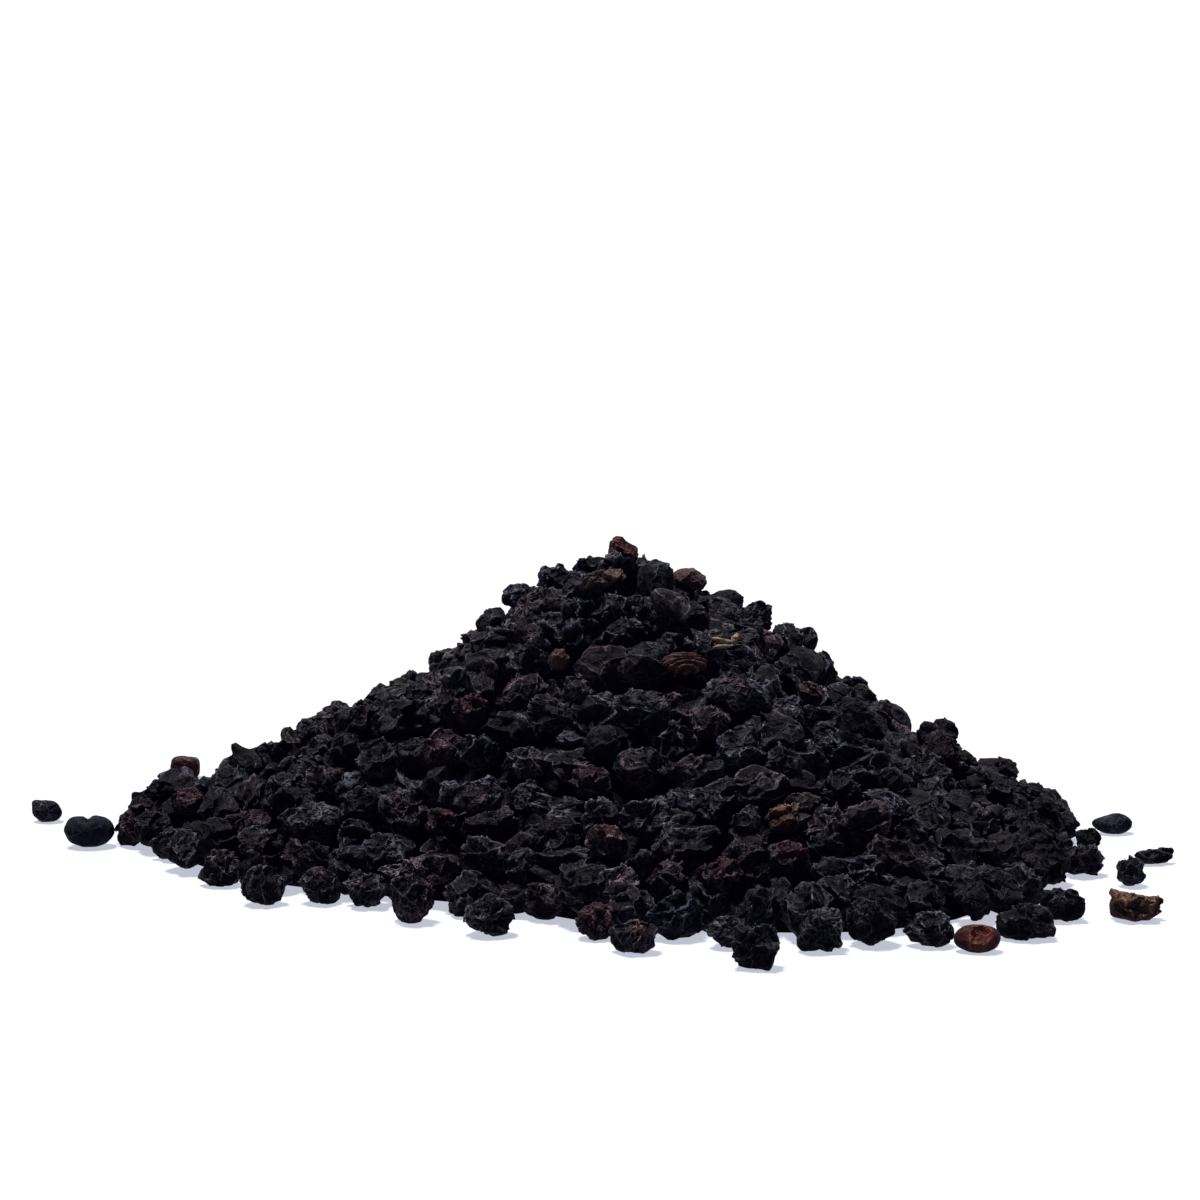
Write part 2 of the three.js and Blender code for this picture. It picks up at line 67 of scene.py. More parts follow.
# A berry's mean diameter, how much that varies, and how the berries lie.
BERRY_DIAMETER = 4.3
BERRY_SPREAD = 0.75
SPACING = 1.02
TRIALS = 24000
SUNK_MOST = 0.9
RAISED_MOST = 0.3
LAST_SHARE = 0.97
LYING_SHARE = 0.42
PLACE_SEED = 20240
SEARCH_MARGIN = 6
# The least and the spread of each semi-axis, as shares of half the diameter, and of each bump's height.
AXIS_SHARES = [(0.98, 0.16), (0.86, 0.14), (0.74, 0.2)]
BUMPS = [(0.04, 0.12), (0.04, 0.12), (0.04, 0.12), (-0.08, -0.14), (-0.08, -0.14)]
BUMP_WIDTH = 0.5
FAINT_BUMPS = 0.6
FORM_SEED = 7919
TABLE_FORMS, SLOPE_FORMS, OUTLINE_FORMS, CARRIER_FORMS = 5000, 5100, 5200, 1000
CARRIER_SHIFT = 1.2
CARRIER_DROP = 2.7
REST_SINK = 0.15

# Berries with a place of their own on the table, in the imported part's order: name, x, y, size, and what else
# its form has.
ON_TABLE = [
    ("far_left_berry", -59.1, 11.8, (3.1, 2.6, 2.4), dict(bumps=[((-1, 0, 0.8), 0.35, 0.4)])),
    ("left_smooth_berry", -53, -0.4, (4.9, 3.9, 3.5), dict(
        bumps=[((-0.1, -0.3, 1), -0.3, 0.3), ((0.5, 0, 0.8), 0.08, 0.5), ((-0.6, 0, 0.7), 0.08, 0.5)])),
    ("back_left_red_berry", -47.4, 35, (3.3, 2.8, 2.5), dict(blocky=3.5)),
    ("far_right_berry", 51.4, 6, (3.8, 2.6, 2.3), dict(turn=8, bumps=[((-1, 0, 0.1), 0.25, 0.35)])),
    ("right_long_piece", 53.4, -8.2, (4.2, 1.9, 1.8), dict(
        turn=20, bumps=[((-1, 0, 0.6), 0.25, 0.5), ((1, 0, 0.7), 0.2, 0.3), ((0.1, 0, 1), -0.2, 0.5)])),
    ("right_small_berry", 49.6, -17.6, (2.9, 2.8, 3.0), dict(
        bumps=[((-1, 0, 0.3), 0.2, 0.4), ((0.7, 0, -0.5), 0.15, 0.4)])),
    ("right_brown_husk", 47.7, -31.4, (4.3, 3.6, 3.1), dict(
        blocky=2.8, bumps=[((1, 0, 0.25), 0.42, 0.32), ((-1, 0, 0.9), 0.4, 0.25), ((-1, 0, -0.6), 0.15, 0.3)])),
    ("right_wedge_berry", 41.2, -31.4, (4.1, 3.4, 3.1), dict(
        blocky=2.8, turn=-8, bumps=[((-1, 0, 0.8), 0.3, 0.4), ((1, 0, 0.9), -0.15, 0.5)])),
    ("front_red_berry", -1.6, -38.2, (4.0, 3.6, 3.3), {}),
    ("front_brown_berry", 1.6, -43.4, (4.3, 3.6, 3.2), dict(
        bumps=[((0.3, -0.4, 1), 0.12, 0.4), ((-1, 0, -0.4), 0.15, 0.4)])),
    ("front_large_berry", 5.4, -38.2, (5.3, 4.4, 4.7), {}),
    ("front_block_berry", 12.2, -48.6, (4.0, 3.7, 4.1), dict(blocky=5, turn=-14)),
    ("front_flat_berry", 10.2, -41.5, (4.4, 3.6, 3.0), {}),
    ("front_square_berry", 18.2, -42.6, (4.4, 3.9, 3.9), dict(blocky=3.6, turn=6)),
    ("front_round_berry", 23.0, -40.6, (4.6, 4.3, 4.7), {}),
    ("front_stemmed_berry", 28.0, -41.0, (4.7, 3.6, 3.2), {}),
    ("front_oval_half", 32.2, -43.2, (4.1, 2.9, 2.8), dict(turn=-6, bumps=[((0, -0.8, 0.45), -0.22, 0.6)])),
    ("front_wedge_berry", 36.9, -38.6, (5.2, 3.6, 3.4), dict(
        blocky=2.6, bumps=[((1, 0, -0.45), 0.18, 0.4), ((-0.6, -1, 0.4), -0.15, 0.5)])),
    ("right_corner_berry", 45.7, -13.2, (4.3, 3.8, 3.6), {}),
    ("front_left_tall_berry", -18.6, -32.2, (4.2, 4.0, 4.8), {}),
    ("front_left_round_berry", -11.4, -37.0, (4.8, 4.0, 4.0), {}),
    ("left_low_berry", -44.2, -6.2, (4.0, 3.6, 3.2), {}),
    ("left_edge_berry", -37.6, -17.2, (4.2, 3.8, 3.7), dict(bumps=[((-1, 0, -0.2), 0.25, 0.35)])),
    ("left_front_berry", -33.0, -25.2, (4.2, 3.9, 4.2), {}),
    ("front_left_pair_1", -27.8, -24.6, (4.1, 3.8, 3.6), {}),
    ("front_left_pair_2", -23.3, -26.0, (4.2, 3.8, 3.6), {}),
]
# Berries and bits of skin of another colour in the slope: name, x, y, lift, size and what else the form has.
ON_SLOPE = [
    ("peak_red_berry", 1.0, 0.9, 0.8, (3.0, 2.9, 3.4), dict(
        bumps=[((-0.4, 0, 1), 0.12, 0.5), ((0.7, 0, 0.8), -0.15, 0.4)])),
    ("peak_brown_skin", -1.3, -4.9, 1.2, (4.8, 2.1, 1.9), dict(roll=-22)),
    ("shoulder_brown_berry", 7.6, 1.3, 0.9, (3.6, 3.2, 2.6), dict(roll=14)),
    ("shoulder_smooth_berry", 5.5, -7.6, 1.3, (4.5, 2.7, 2.6), dict(roll=27)),
    ("ribbed_skin", 6.7, -14.0, 1.4, (4.4, 2.4, 2.1), dict(roll=4, tilt=30)),
    ("left_tan_seed", -5.3, -10.8, 1.2, (2.2, 1.9, 2.4), dict(tilt=30)),
    ("slope_red_berry_1", -14.0, -11.7, 0.9, (3.7, 3.2, 3.7), {}),
    ("slope_red_berry_2", -17.1, -14.4, 0.9, (3.8, 3.3, 3.1), {}),
    ("slope_red_berry_3", -16.5, -21.5, 0.9, (3.2, 3.0, 2.9), {}),
    ("slope_red_berry_4", -2.2, -23.4, 1.0, (4.2, 3.5, 3.2), {}),
    ("slope_red_berry_5", -0.8, -30.0, 0.8, (4.1, 3.6, 3.8), {}),
    ("slope_red_berry_6", 9.7, -35.0, 0.9, (4.1, 3.6, 3.5), {}),
    ("slope_red_berry_7", 15.9, -33.4, 1.0, (4.1, 3.6, 3.6), {}),
    ("slope_brown_berry_1", 16.0, -29.2, 1.3, (4.5, 3.4, 3.0), dict(roll=-12)),
    ("slope_red_berry_8", 19.2, -9.2, 1.0, (2.8, 2.6, 2.8), {}),
    ("slope_red_berry_9", -42.5, -2.4, 0.7, (4.2, 3.6, 3.0), {}),
]
# Berries of the heap that make its outline: place, size and what else the form has.
OUTLINE = [
    ((39.2, 5.0, 6.2), (4.5, 4.0, 3.7), dict(blocky=3)),
    ((43.0, 5.0, 4.1), (4.2, 3.6, 2.7), dict(bumps=[((1, 0, 0.35), 0.35, 0.4)])),
    ((45.6, 3.0, 1.9), (3.7, 3.6, 3.7), {}),
    ((47.6, -2.3, 1.2), (2.6, 2.6, 2.4), {}),
    ((39.5, -21.0, 1.8), (3.7, 3.6, 3.7), {}),
    ((43.0, -9.5, 1.8), (4.2, 3.8, 3.7), {}),
    ((-48.2, 4.4, 1.5), (4.1, 3.5, 3.2), dict(bumps=[((-1, 0, -0.2), 0.25, 0.4)])),
    ((-46.4, 3.4, 4.5), (3.4, 3.2, 3.2), {}),
    ((-44.4, 6.5, 4.4), (3.8, 3.6, 3.0), {}),
    ((-41.3, 4.0, 4.7), (3.5, 3.3, 3.2), {}),
    ((-37.0, 6.0, 7.0), (5.2, 4.2, 3.9), dict(bumps=[((-0.55, 0, 0.85), 0.5, 0.25)])),
    ((-28.3, 6.0, 12.1), (3.6, 3.5, 3.5), {}),
    ((-24.7, 6.0, 12.3), (3.6, 3.5, 3.2), {}),
    ((-17.2, 6.0, 17.7), (3.3, 3.3, 3.2), {}),
    ((-12.3, 2.5, 22.4), (3.4, 3.4, 3.4), {}),
    ((-9.1, 1.5, 25.1), (4.7, 3.5, 2.9), {}),
    ((-5.6, 1.4, 26.9), (3.5, 3.2, 2.8), {}),
    ((-2.4, 1.0, 27.9), (3.8, 3.6, 3.2), {}),
    ((4.0, 1.1, 27.5), (3.9, 3.5, 3.1), {}),
    ((10.9, 2.0, 24.3), (4.3, 3.8, 3.3), {}),
    ((14.4, 3.2, 22.9), (3.3, 3.4, 3.5), {}),
    ((18.4, 5.7, 19.7), (4.7, 4.1, 3.7), dict(bumps=[((0.8, 0, 0.6), 0.15, 0.4)])),
    ((24.6, 6.0, 14.7), (3.6, 3.6, 3.4), {}),
    ((33.1, 6.0, 10.2), (4.3, 3.9, 3.7), {}),
    ((-6.5, -31.2, 1.7), (4.2, 3.8, 3.4), {}),
]

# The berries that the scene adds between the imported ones, and the ones under them: how many places are tried,
# the least distance of two as a share of their diameter, the depths under the slope, the scale of their size,
# and the last share of the way to the foot.
BETWEEN_THEM = dict(seed=11, trials=26000, spacing=0.68, depths=(0.5, 2.3), scale=1.18, first_form=3000,
                    last_share=0.955)
UNDER_THEM = dict(seed=12, trials=9000, spacing=0.86, depths=(2.2, 4.2), scale=1.0, first_form=4000,
                  last_share=0.93)
ROOM_OF_SINGLES = 1.4  # the ones between keep clear of the single berries as if these were this much wider
RAISED_MOST_TO_TABLE = 1.2  # one that would sink into the table is raised, if by less than this
FINER_OUTSIDE = 0.4  # how far the points of a skin are drawn in towards its outer side
SPREAD = 1.18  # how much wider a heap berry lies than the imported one, where no single berry is near
NEAR_SINGLE = 4.6
HIGHEST_RELIEF = 0.32  # ridges level out towards this share of the radius
LONGEST_REACH = 1.5  # no point is further from its berry's middle than this many median distances
SHUFFLED = np.random.default_rng(5).permutation(256)
SLOPES = np.random.default_rng(6).normal(size=(256, 3))
SLOPES /= np.linalg.norm(SLOPES, axis=1, keepdims=True)


def unit(vectors):
    """Vectors divided by their lengths, over the last axis."""
    return vectors / np.linalg.norm(vectors, axis=-1, keepdims=True)


def seeded_numbers(seed, count):
    """The first numbers from 0 to 1 of a stream: a counter that steps by a fixed odd number, mixed by shifts
    and multiplications in 32 bits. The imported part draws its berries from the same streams."""
    low = np.uint64(0xFFFFFFFF)
    step = np.arange(1, count + 1, dtype=np.uint64)
    state = (np.uint64(seed & 0xFFFFFFFF) + step * np.uint64(0x6D2B79F5)) & low
    mixed = ((state ^ (state >> np.uint64(15))) * (state | np.uint64(1))) & low
    more = ((mixed ^ (mixed >> np.uint64(7))) * (mixed | np.uint64(61))) & low
    mixed ^= (mixed + more) & low
    return ((mixed ^ (mixed >> np.uint64(14))) & low).astype(float) / 4294967296.0


def foot_radius(x, y):
    """The mean radius plus, for each lobe, its reach times a bell curve of the angle from its direction."""
    angle = np.degrees(np.arctan2(y, x))
    radius = FOOT_RADIUS + 0 * angle
    for towards, half_width, reach in FOOT_LOBES:
        off = np.mod(angle - towards + 180, 360) - 180
        radius = radius + reach * np.exp(-((off / half_width) ** 2))
    return radius


def slope_at(x, y):
    """Share of the way to the foot, and height of the slope: a cone whose fall is the hypotenuse of the share
    and the top's rounding, raised to the hollowness, plus humps that fade towards the foot."""
    foot = foot_radius(x, y)
    share = np.hypot(x, y) / foot
    top = TOP_ROUNDING / foot
    fall = (np.hypot(share, top) - top) / (np.hypot(1, top) - top)
    humps = sum(h * np.exp(-((x - a) ** 2 + (y - b) ** 2) / r**2) for a, b, h, r in HUMPS)
    cone = HEAP_RISE * np.maximum(0, 1 - fall) ** HOLLOWNESS
    return share, LOWEST_CENTRE + cone + humps * np.maximum(0, 1 - share**4)


def sphere_of_directions(cuts):
    """Unit directions and triangles: an icosahedron whose edges are each cut into this many parts, with the
    grid of every face pushed out to the sphere and the doubled points of its edges merged."""
    t = (1 + 5**0.5) / 2
    corners = np.array([
        (-1, t, 0), (1, t, 0), (-1, -t, 0), (1, -t, 0), (0, -1, t), (0, 1, t), (0, -1, -t), (0, 1, -t),
        (t, 0, -1), (t, 0, 1), (-t, 0, -1), (-t, 0, 1)])
    faces = np.array([
        (0, 11, 5), (0, 5, 1), (0, 1, 7), (0, 7, 10), (0, 10, 11), (1, 5, 9), (5, 11, 4), (11, 10, 2),
        (10, 7, 6), (7, 1, 8), (3, 9, 4), (3, 4, 2), (3, 2, 6), (3, 6, 8), (3, 8, 9), (4, 9, 5), (2, 4, 11),
        (6, 2, 10), (8, 6, 7), (9, 8, 1)])
    i, j = [v.ravel() for v in np.meshgrid(np.arange(cuts + 1), np.arange(cuts + 1), indexing="ij")]
    keep = i + j <= cuts
    i, j = i[keep], j[keep]
    place = np.full((cuts + 2, cuts + 2), -1)
    place[i, j] = np.arange(len(i))
    shares = np.stack([cuts - i - j, i, j], 1) / cuts
    points = np.einsum("pk,fkc->fpc", shares, corners[faces].astype(float))
    a, b = i[i + j < cuts], j[i + j < cuts]
    up = np.stack([place[a, b], place[a + 1, b], place[a, b + 1]], 1)
    c, d = i[i + j < cuts - 1], j[i + j < cuts - 1]
    down = np.stack([place[c + 1, d], place[c + 1, d + 1], place[c, d + 1]], 1)
    local = np.concatenate([up, down])
    triangles = (local[None] + np.arange(20)[:, None, None] * len(i)).reshape(-1, 3)
    points = unit(points.reshape(-1, 3))
    rounded = np.round(points * 1e5).astype(int)
    _, first, where = np.unique(rounded, axis=0, return_index=True, return_inverse=True)
    return points[first], where.reshape(-1)[triangles]


def turned(tilt, roll, turn):
    """The matrix of a turn about the upright axis, then a roll, then a tilt, in degrees."""
    return np.array(
        Matrix.Rotation(tilt * DEGREES, 3, "X") @ Matrix.Rotation(roll * DEGREES, 3, "Y")
        @ Matrix.Rotation(turn * DEGREES, 3, "Z"))


def random_bumps(numbers):
    """Three swells and two dents from fifteen numbers: a direction, a height and a width each."""
    bumps = []
    for (least, spread), (a, b, c) in zip(BUMPS, numbers.reshape(5, 3)):
        z, around = 2 * a - 1, 2 * np.pi * b
        flat = (1 - z * z) ** 0.5
        bumps.append(((flat * np.cos(around), flat * np.sin(around), z), least + spread * c, BUMP_WIDTH))
    return bumps


def random_form(index, diameter):
    """Semi-axes, turn and bumps of a berry of the heap, from its index."""
    n = seeded_numbers(FORM_SEED * (index + 1), 21)
    axes = [(least + spread * v) * diameter / 2 for (least, spread), v in zip(AXIS_SHARES, n)]
    share, first, second = n[3], 2 * np.pi * n[4], 2 * np.pi * n[5]
    x, y = (1 - share) ** 0.5 * np.sin(first), (1 - share) ** 0.5 * np.cos(first)
    z, w = share**0.5 * np.sin(second), share**0.5 * np.cos(second)
    spin = np.array([
        [1 - 2 * (y * y + z * z), 2 * (x * y - z * w), 2 * (x * z + y * w)],
        [2 * (x * y + z * w), 1 - 2 * (x * x + z * z), 2 * (y * z - x * w)],
        [2 * (x * z - y * w), 2 * (y * z + x * w), 1 - 2 * (x * x + y * y)]])
    return dict(axes=axes, spin=spin, blocky=2, bumps=random_bumps(n[6:]))


def placed_form(number, size, extra):
    """Semi-axes, turn and bumps of a berry with a place of its own."""
    own = [(tuple(unit(np.array(d, float))), h, w) for d, h, w in extra.get("bumps", [])]
    faint = [(d, FAINT_BUMPS * h, w) for d, h, w in random_bumps(seeded_numbers(FORM_SEED * number, 15))]
    spin = turned(extra.get("tilt", 0), extra.get("roll", 0), extra.get("turn", 0))
    return dict(axes=[s / 2 for s in size], spin=spin, blocky=extra.get("blocky", 2), bumps=own + faint)


def swollen(form, directions):
    """Radius in each direction: that of a superellipsoid with the form's semi-axes, times one plus the bumps,
    each of which fades as a bell curve of the angle from its own direction."""
    power = sum(np.abs(directions[:, k] / form["axes"][k]) ** form["blocky"] for k in range(3))
    swell = 1 + sum(h * np.exp((directions @ np.array(d) - 1) / (w * w / 2)) for d, h, w in form["bumps"])
    return power ** (-1 / form["blocky"]) * swell


def resting_height(form):
    """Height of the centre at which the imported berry's lowest corner is just under the table."""
    corners = COARSE[0] * swollen(form, COARSE[0])[:, None] @ form["spin"].T
    return -corners[:, 2].min() - REST_SINK


COARSE = sphere_of_directions(2)


def placed_berries():
    """Name, centre, diameter and form of the berries that are nodes of their own."""
    berries = []
    for index, (name, x, y, size, extra) in enumerate(ON_TABLE):
        form = placed_form(TABLE_FORMS + index, size, extra)
        berries.append(dict(name=name, centre=(x, y, resting_height(form)), diameter=sum(size) / 3, form=form))
    for index, (name, x, y, lift, size, extra) in enumerate(ON_SLOPE):
        form = placed_form(SLOPE_FORMS + index, size, extra)
        z = float(slope_at(x, y)[1]) + lift
        berries.append(dict(name=name, centre=(x, y, z), diameter=sum(size) / 3, form=form))
    return berries


def outline_berries():
    """The berries of the outline, and the ones that carry those that are off the table."""
    outline, carriers = [], []
    for index, (place, size, extra) in enumerate(OUTLINE):
        form = placed_form(OUTLINE_FORMS + index, size, extra)
        outline.append(dict(centre=place, diameter=sum(size) / 3, form=form, settled=True))
    for berry in [b for b in outline if b["centre"][2] > BERRY_DIAMETER / 2]:
        x, y, z = berry["centre"]
        inwards = -np.array([x, y]) / np.hypot(x, y) * CARRIER_SHIFT
        centre = (x + inwards[0], y + inwards[1], max(z - CARRIER_DROP, LOWEST_CENTRE))
        form = random_form(CARRIER_FORMS + len(carriers), BERRY_DIAMETER)
        carriers.append(dict(centre=centre, diameter=BERRY_DIAMETER, form=form))
    return outline + carriers


def heap_berries(placed, outline):
    """Berries at random places on the slope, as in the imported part: each trial has a place, a depth and a
    diameter, and stays if it is far enough from all that lie there already."""
    draws = seeded_numbers(PLACE_SEED, 5 * TRIALS).reshape(-1, 5)
    reach = FOOT_RADIUS + SEARCH_MARGIN
    x, y = reach * (2 * draws[:, 0] - 1), reach * (2 * draws[:, 1] - 1)
    diameter = BERRY_DIAMETER + BERRY_SPREAD * (draws[:, 3] + draws[:, 4] - 1)
    share, height = slope_at(x, y)
    z = height + RAISED_MOST - (SUNK_MOST + RAISED_MOST) * draws[:, 2]
    z = np.maximum(z, LYING_SHARE * diameter - REST_SINK)
    tried = np.stack([x, y, z, diameter], 1)[share <= LAST_SHARE]
    return scattered(tried, placed, outline, SPACING, 0)


def scattered(tried, others, found, spacing, first_form):
    """Goes through the tried places in turn, and keeps each that is clear of all kept before it. The forms are
    numbered on from the first."""
    near = np.array([[*b["centre"], b["diameter"]] for b in others + found])
    near = np.concatenate([near, np.zeros((len(tried), 4))])
    count = len(others) + len(found)
    found = list(found)
    for x, y, z, diameter in tried:
        gap = np.sqrt(((near[:count, :3] - (x, y, z)) ** 2).sum(1))
        if (gap > spacing * (near[:count, 3] + diameter) / 2).all():
            near[count] = x, y, z, diameter
            count += 1
            form = random_form(first_form + len(found), diameter)
            found.append(dict(centre=(x, y, z), diameter=diameter, form=form))
    return found


def added_berries(others, seed, trials, spacing, depths, scale, first_form, last_share):
    """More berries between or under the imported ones, at random depths under the slope."""
    draw = np.random.default_rng(seed)
    reach = FOOT_RADIUS + SEARCH_MARGIN
    x, y = draw.uniform(-reach, reach, (2, trials))
    diameter = scale * (BERRY_DIAMETER + BERRY_SPREAD * (draw.random(trials) + draw.random(trials) - 1))
    share, height = slope_at(x, y)
    z = height - draw.uniform(*depths, trials)
    lowest = LYING_SHARE * diameter
    fits = (share <= last_share) & (z > lowest - RAISED_MOST_TO_TABLE)
    tried = np.stack([x, y, np.maximum(z, lowest), diameter], 1)[fits]
    return scattered(tried, others, [], spacing, first_form)


def spread_seeds(draw, count, stray):
    """Unit directions on a spiral from pole to pole, turned at random and each moved by a random vector."""
    k = np.arange(count) + 0.5
    z = 1 - 2 * k / count
    around = k * np.pi * (1 + 5**0.5)
    flat = np.sqrt(1 - z * z)
    spiral = np.stack([flat * np.cos(around), flat * np.sin(around), z], 1)
    spin, _ = np.linalg.qr(draw.normal(size=(3, 3)))
    return unit(spiral @ spin.T + draw.normal(size=(count, 3)) * stray)


def cell_lines(directions, seeds, squeeze):
    """Cells round the seeds in squeezed space. A direction belongs to its nearest seed, and the line between
    two cells is the plane halfway between their seeds. Returns the cell, and for the two nearest such planes
    the sine of the angle to each and its normal."""
    score = directions @ squeeze @ seeds.T - 0.5 * (seeds**2).sum(1)
    three = np.argpartition(-score, 2, axis=1)[:, :3]
    value = np.take_along_axis(score, three, 1)
    rank = np.argsort(-value, axis=1)
    three, value = np.take_along_axis(three, rank, 1), np.take_along_axis(value, rank, 1)
    normals, offs = [], []
    for other in (1, 2):
        normal = (seeds[three[:, 0]] - seeds[three[:, other]]) @ squeeze
        length = np.linalg.norm(normal, axis=1)
        normals.append(normal / length[:, None])
        offs.append((value[:, 0] - value[:, other]) / length)
    return three[:, 0], offs, normals


def crowded(off, reach):
    """Distance from a line, drawn in near the line: its square over itself plus 1.9 times the reach."""
    return off * off / (off + 1.9 * reach)


def pulled(directions, seeds, squeeze, reach, crowd=False):
    """Directions within reach of a line between cells are moved onto it, and those within reach of two lines
    onto both. With crowd, the others are drawn in towards it. Returns the directions, and which lie on it."""
    _, offs, normals = cell_lines(directions, seeds, squeeze)
    on_line, at_corner = offs[0] < reach, offs[1] < 0.7 * reach
    moved = unit(directions - (offs[0] - crowded(offs[0], reach))[:, None] * normals[0]) if crowd else directions
    level = [(directions * n).sum(1) - o for n, o in zip(normals, offs)]
    for turn in (0, 1, 0, 1, 0):
        held = (on_line if turn == 0 else on_line & at_corner)[:, None]
        off = (moved * normals[turn]).sum(1) - level[turn]
        moved = np.where(held, unit(moved - off[:, None] * normals[turn]), moved)
    return moved, on_line


def wandering(points):
    """Gradient noise from about -0.6 to 0.6: each corner of the unit cube round a point has a random slope, and
    the rises of the slopes to the point are blended by a smooth step of its place in the cube."""
    cell = np.floor(points).astype(int)
    inside = points - cell
    ease = inside**3 * (inside * (inside * 6 - 15) + 10)
    total = np.zeros(len(points))
    for corner in np.ndindex(2, 2, 2):
        at = (cell + corner) & 255
        pick = SHUFFLED[(SHUFFLED[(SHUFFLED[at[:, 0]] + at[:, 1]) & 255] + at[:, 2]) & 255]
        share = np.where(corner, ease, 1 - ease).prod(axis=1)
        total += share * (SLOPES[pick] * (inside - corner)).sum(axis=1)
    return total


def swayed(points, amount, pace, shift):
    """Points moved by the noise, with a noise of its own for each axis."""
    return points + amount * np.stack([wandering(points * pace + shift + 31.7 * k) for k in range(3)], axis=1)


def crest(points, width):
    """One along the wandering lines where the noise is nil, and falling to nil at this value of the noise."""
    return np.maximum(0, 1 - np.abs(wandering(points)) / width)


def crumpled(sphere, form, facing, seed, look, own=None):
    """A berry's skin round the origin. The sphere's directions are drawn in towards the side that faces out, and
    pulled onto the lines between large cells, and they sway by noise. The radius is the swollen form's times one
    plus the relief: slow lumps, less each cell's depth times one less an exponential of the distance from its
    line, plus a lip along the line and folds along the crests of a noise, less dents and small cells. Folds are
    faint where the skin has sunk, and on the side that faces in. What only this berry has comes last. The skin
    is then scaled to the box of its plain form. Returns points, and what the material reads at each of them."""
    draw = np.random.default_rng(seed)
    size = float(np.mean(form["axes"]))
    even = sphere[0]
    base = unit(even + FINER_OUTSIDE * (facing @ form["spin"]))
    step = 3.0 / len(base) ** 0.5
    along = unit(draw.normal(size=3))
    squeeze = np.eye(3) + (draw.uniform(*look["squeeze"]) - 1) * np.outer(along, along)
    shift = draw.uniform(0, 200, 3)
    large = spread_seeds(draw, look["cells"], look["stray"]) @ squeeze
    small = spread_seeds(draw, look["small_cells"], 0.15) @ squeeze
    on_small, _ = pulled(base, small, squeeze, 0.4 * step)
    on_large, held = pulled(base, large, squeeze, 0.45 * step, True)
    beside = (cell_lines(base, small, squeeze)[1][0] < 0.4 * step)[:, None]
    base = np.where(held[:, None], on_large, np.where(beside, on_small, on_large))
    cell, (off, _), _ = cell_lines(base, large, squeeze)
    _, (off_small, _), _ = cell_lines(base, small, squeeze)
    off, off_small = np.abs(off), np.abs(off_small)
    towards = unit(swayed(swayed(base, look["sway"], 1.7, shift), 0.5 * look["sway"], 4.3, shift))
    world = base @ form["spin"].T

    depth = look["depth"] * draw.uniform(0.2, 1.3, look["cells"])
    depth[: look["hollows"]] = look["hollow_depth"] * draw.uniform(0.8, 1.2, look["hollows"])
    sunk = depth[cell] * (1 - np.exp(-off / look["wall"]))
    lip = look["lip"] * np.clip(0.7 + 1.3 * wandering(base * 2.5 + shift), 0, 1.3) * np.exp(-off / 0.05)
    lumps = look["lumps"] * (wandering(base * 1.1 - shift) + 0.5 * wandering(base * 2.3 - shift))
    rough = np.clip(0.75 + 1.6 * wandering(base * 1.4 + 2 * shift), 0.15, 1.4)
    calm = np.exp(-sunk / 0.16)
    pitted = look["small_depth"] * rough * (0.3 + 0.7 * calm) * (1 - np.exp(-off_small / 0.08))
    grain = swayed(base @ squeeze, 0.35, 2.2, shift)
    fold = look["fold_height"] * rough * calm * crest(grain * look["folds"] + shift, 0.22) ** 1.5
    dents = 0
    for dent in draw.uniform(0.4, 1.0, look["dents"]) * look["dent_depth"]:
        dents = dents + dent * np.exp((base @ unit(draw.normal(size=3)) - 1) / draw.uniform(0.18, 0.34))
    outer = np.clip(0.9 + world @ facing, 0.45, 1) * np.clip(1.1 + 0.75 * world[:, 2], 0.35, 1)
    relief = lumps * 0.8 - sunk * outer + (lip + fold - pitted) * outer - dents * outer
    relief = np.where(relief > 0, HIGHEST_RELIEF * np.tanh(relief / HIGHEST_RELIEF), relief)
    mark, line = own_relief(world, size, own or {}, shift)
    radius = swollen(form, towards) * np.maximum(0.3, 1 + relief + mark)

    points = towards * radius[:, None]
    plain = (even * swollen(form, even)[:, None]) @ form["spin"].T
    points = boxed(points @ form["spin"].T, plain.min(0), plain.max(0))
    spot = unit(draw.normal(size=3))
    apart = 0 if draw.random() < 0.14 else 9
    lines = np.stack([np.minimum(off * size, line), off_small * size, sunk / 0.3], 1)
    scar = np.linalg.norm(base - spot, axis=1) * size + apart
    marks = np.stack([0 * sunk + 1, rough * (0.25 + 0.75 * calm), scar], 1)
    texture = 1.15 * (towards * radius[:, None]) @ squeeze + draw.uniform(-50, 50, 3)
    return points, dict(lines=lines, fold=texture, kind=marks, towards=world)


def degrees_off(world, middle):
    """The angle in degrees of each direction from this one."""
    return np.degrees(np.arccos(np.clip(world @ unit(np.array(middle, float)), -1, 1)))


def own_relief(world, size, own, shift):
    """What only one berry has, as a share of its radius, and the distance in mm from its raised line. A dish
    is level inside an angle from its middle and has a raised rim there. Ribs are a cosine of the distance
    along an axis, which a noise bends. A spike is a narrow bell curve of the angle from its direction."""
    rise, line = np.zeros(len(world)), np.full(len(world), 9.0)
    for middle, half, deep in own.get("dishes", []):
        off = degrees_off(world, middle)
        off = off + 14 * wandering(world * 1.6 + shift)
        rise += 0.08 * np.exp(-(((off - half) / 6) ** 2)) - deep * np.clip((half - off) / 16, 0, 1)
        line = np.minimum(line, np.abs(off - half) * DEGREES * size)
    for axis, count, height in own.get("ribs", []):
        wave = world @ unit(np.array(axis, float)) * count + 0.4 * wandering(world * 1.3 + shift)
        rise += height * np.cos(2 * np.pi * wave)
        line = np.minimum(line, np.abs(wave - np.round(wave)) / count * size)
    for tip, height, width in own.get("spikes", []):
        rise += height * np.exp((world @ unit(np.array(tip, float)) - 1) / (width * width / 2))
    return rise, line


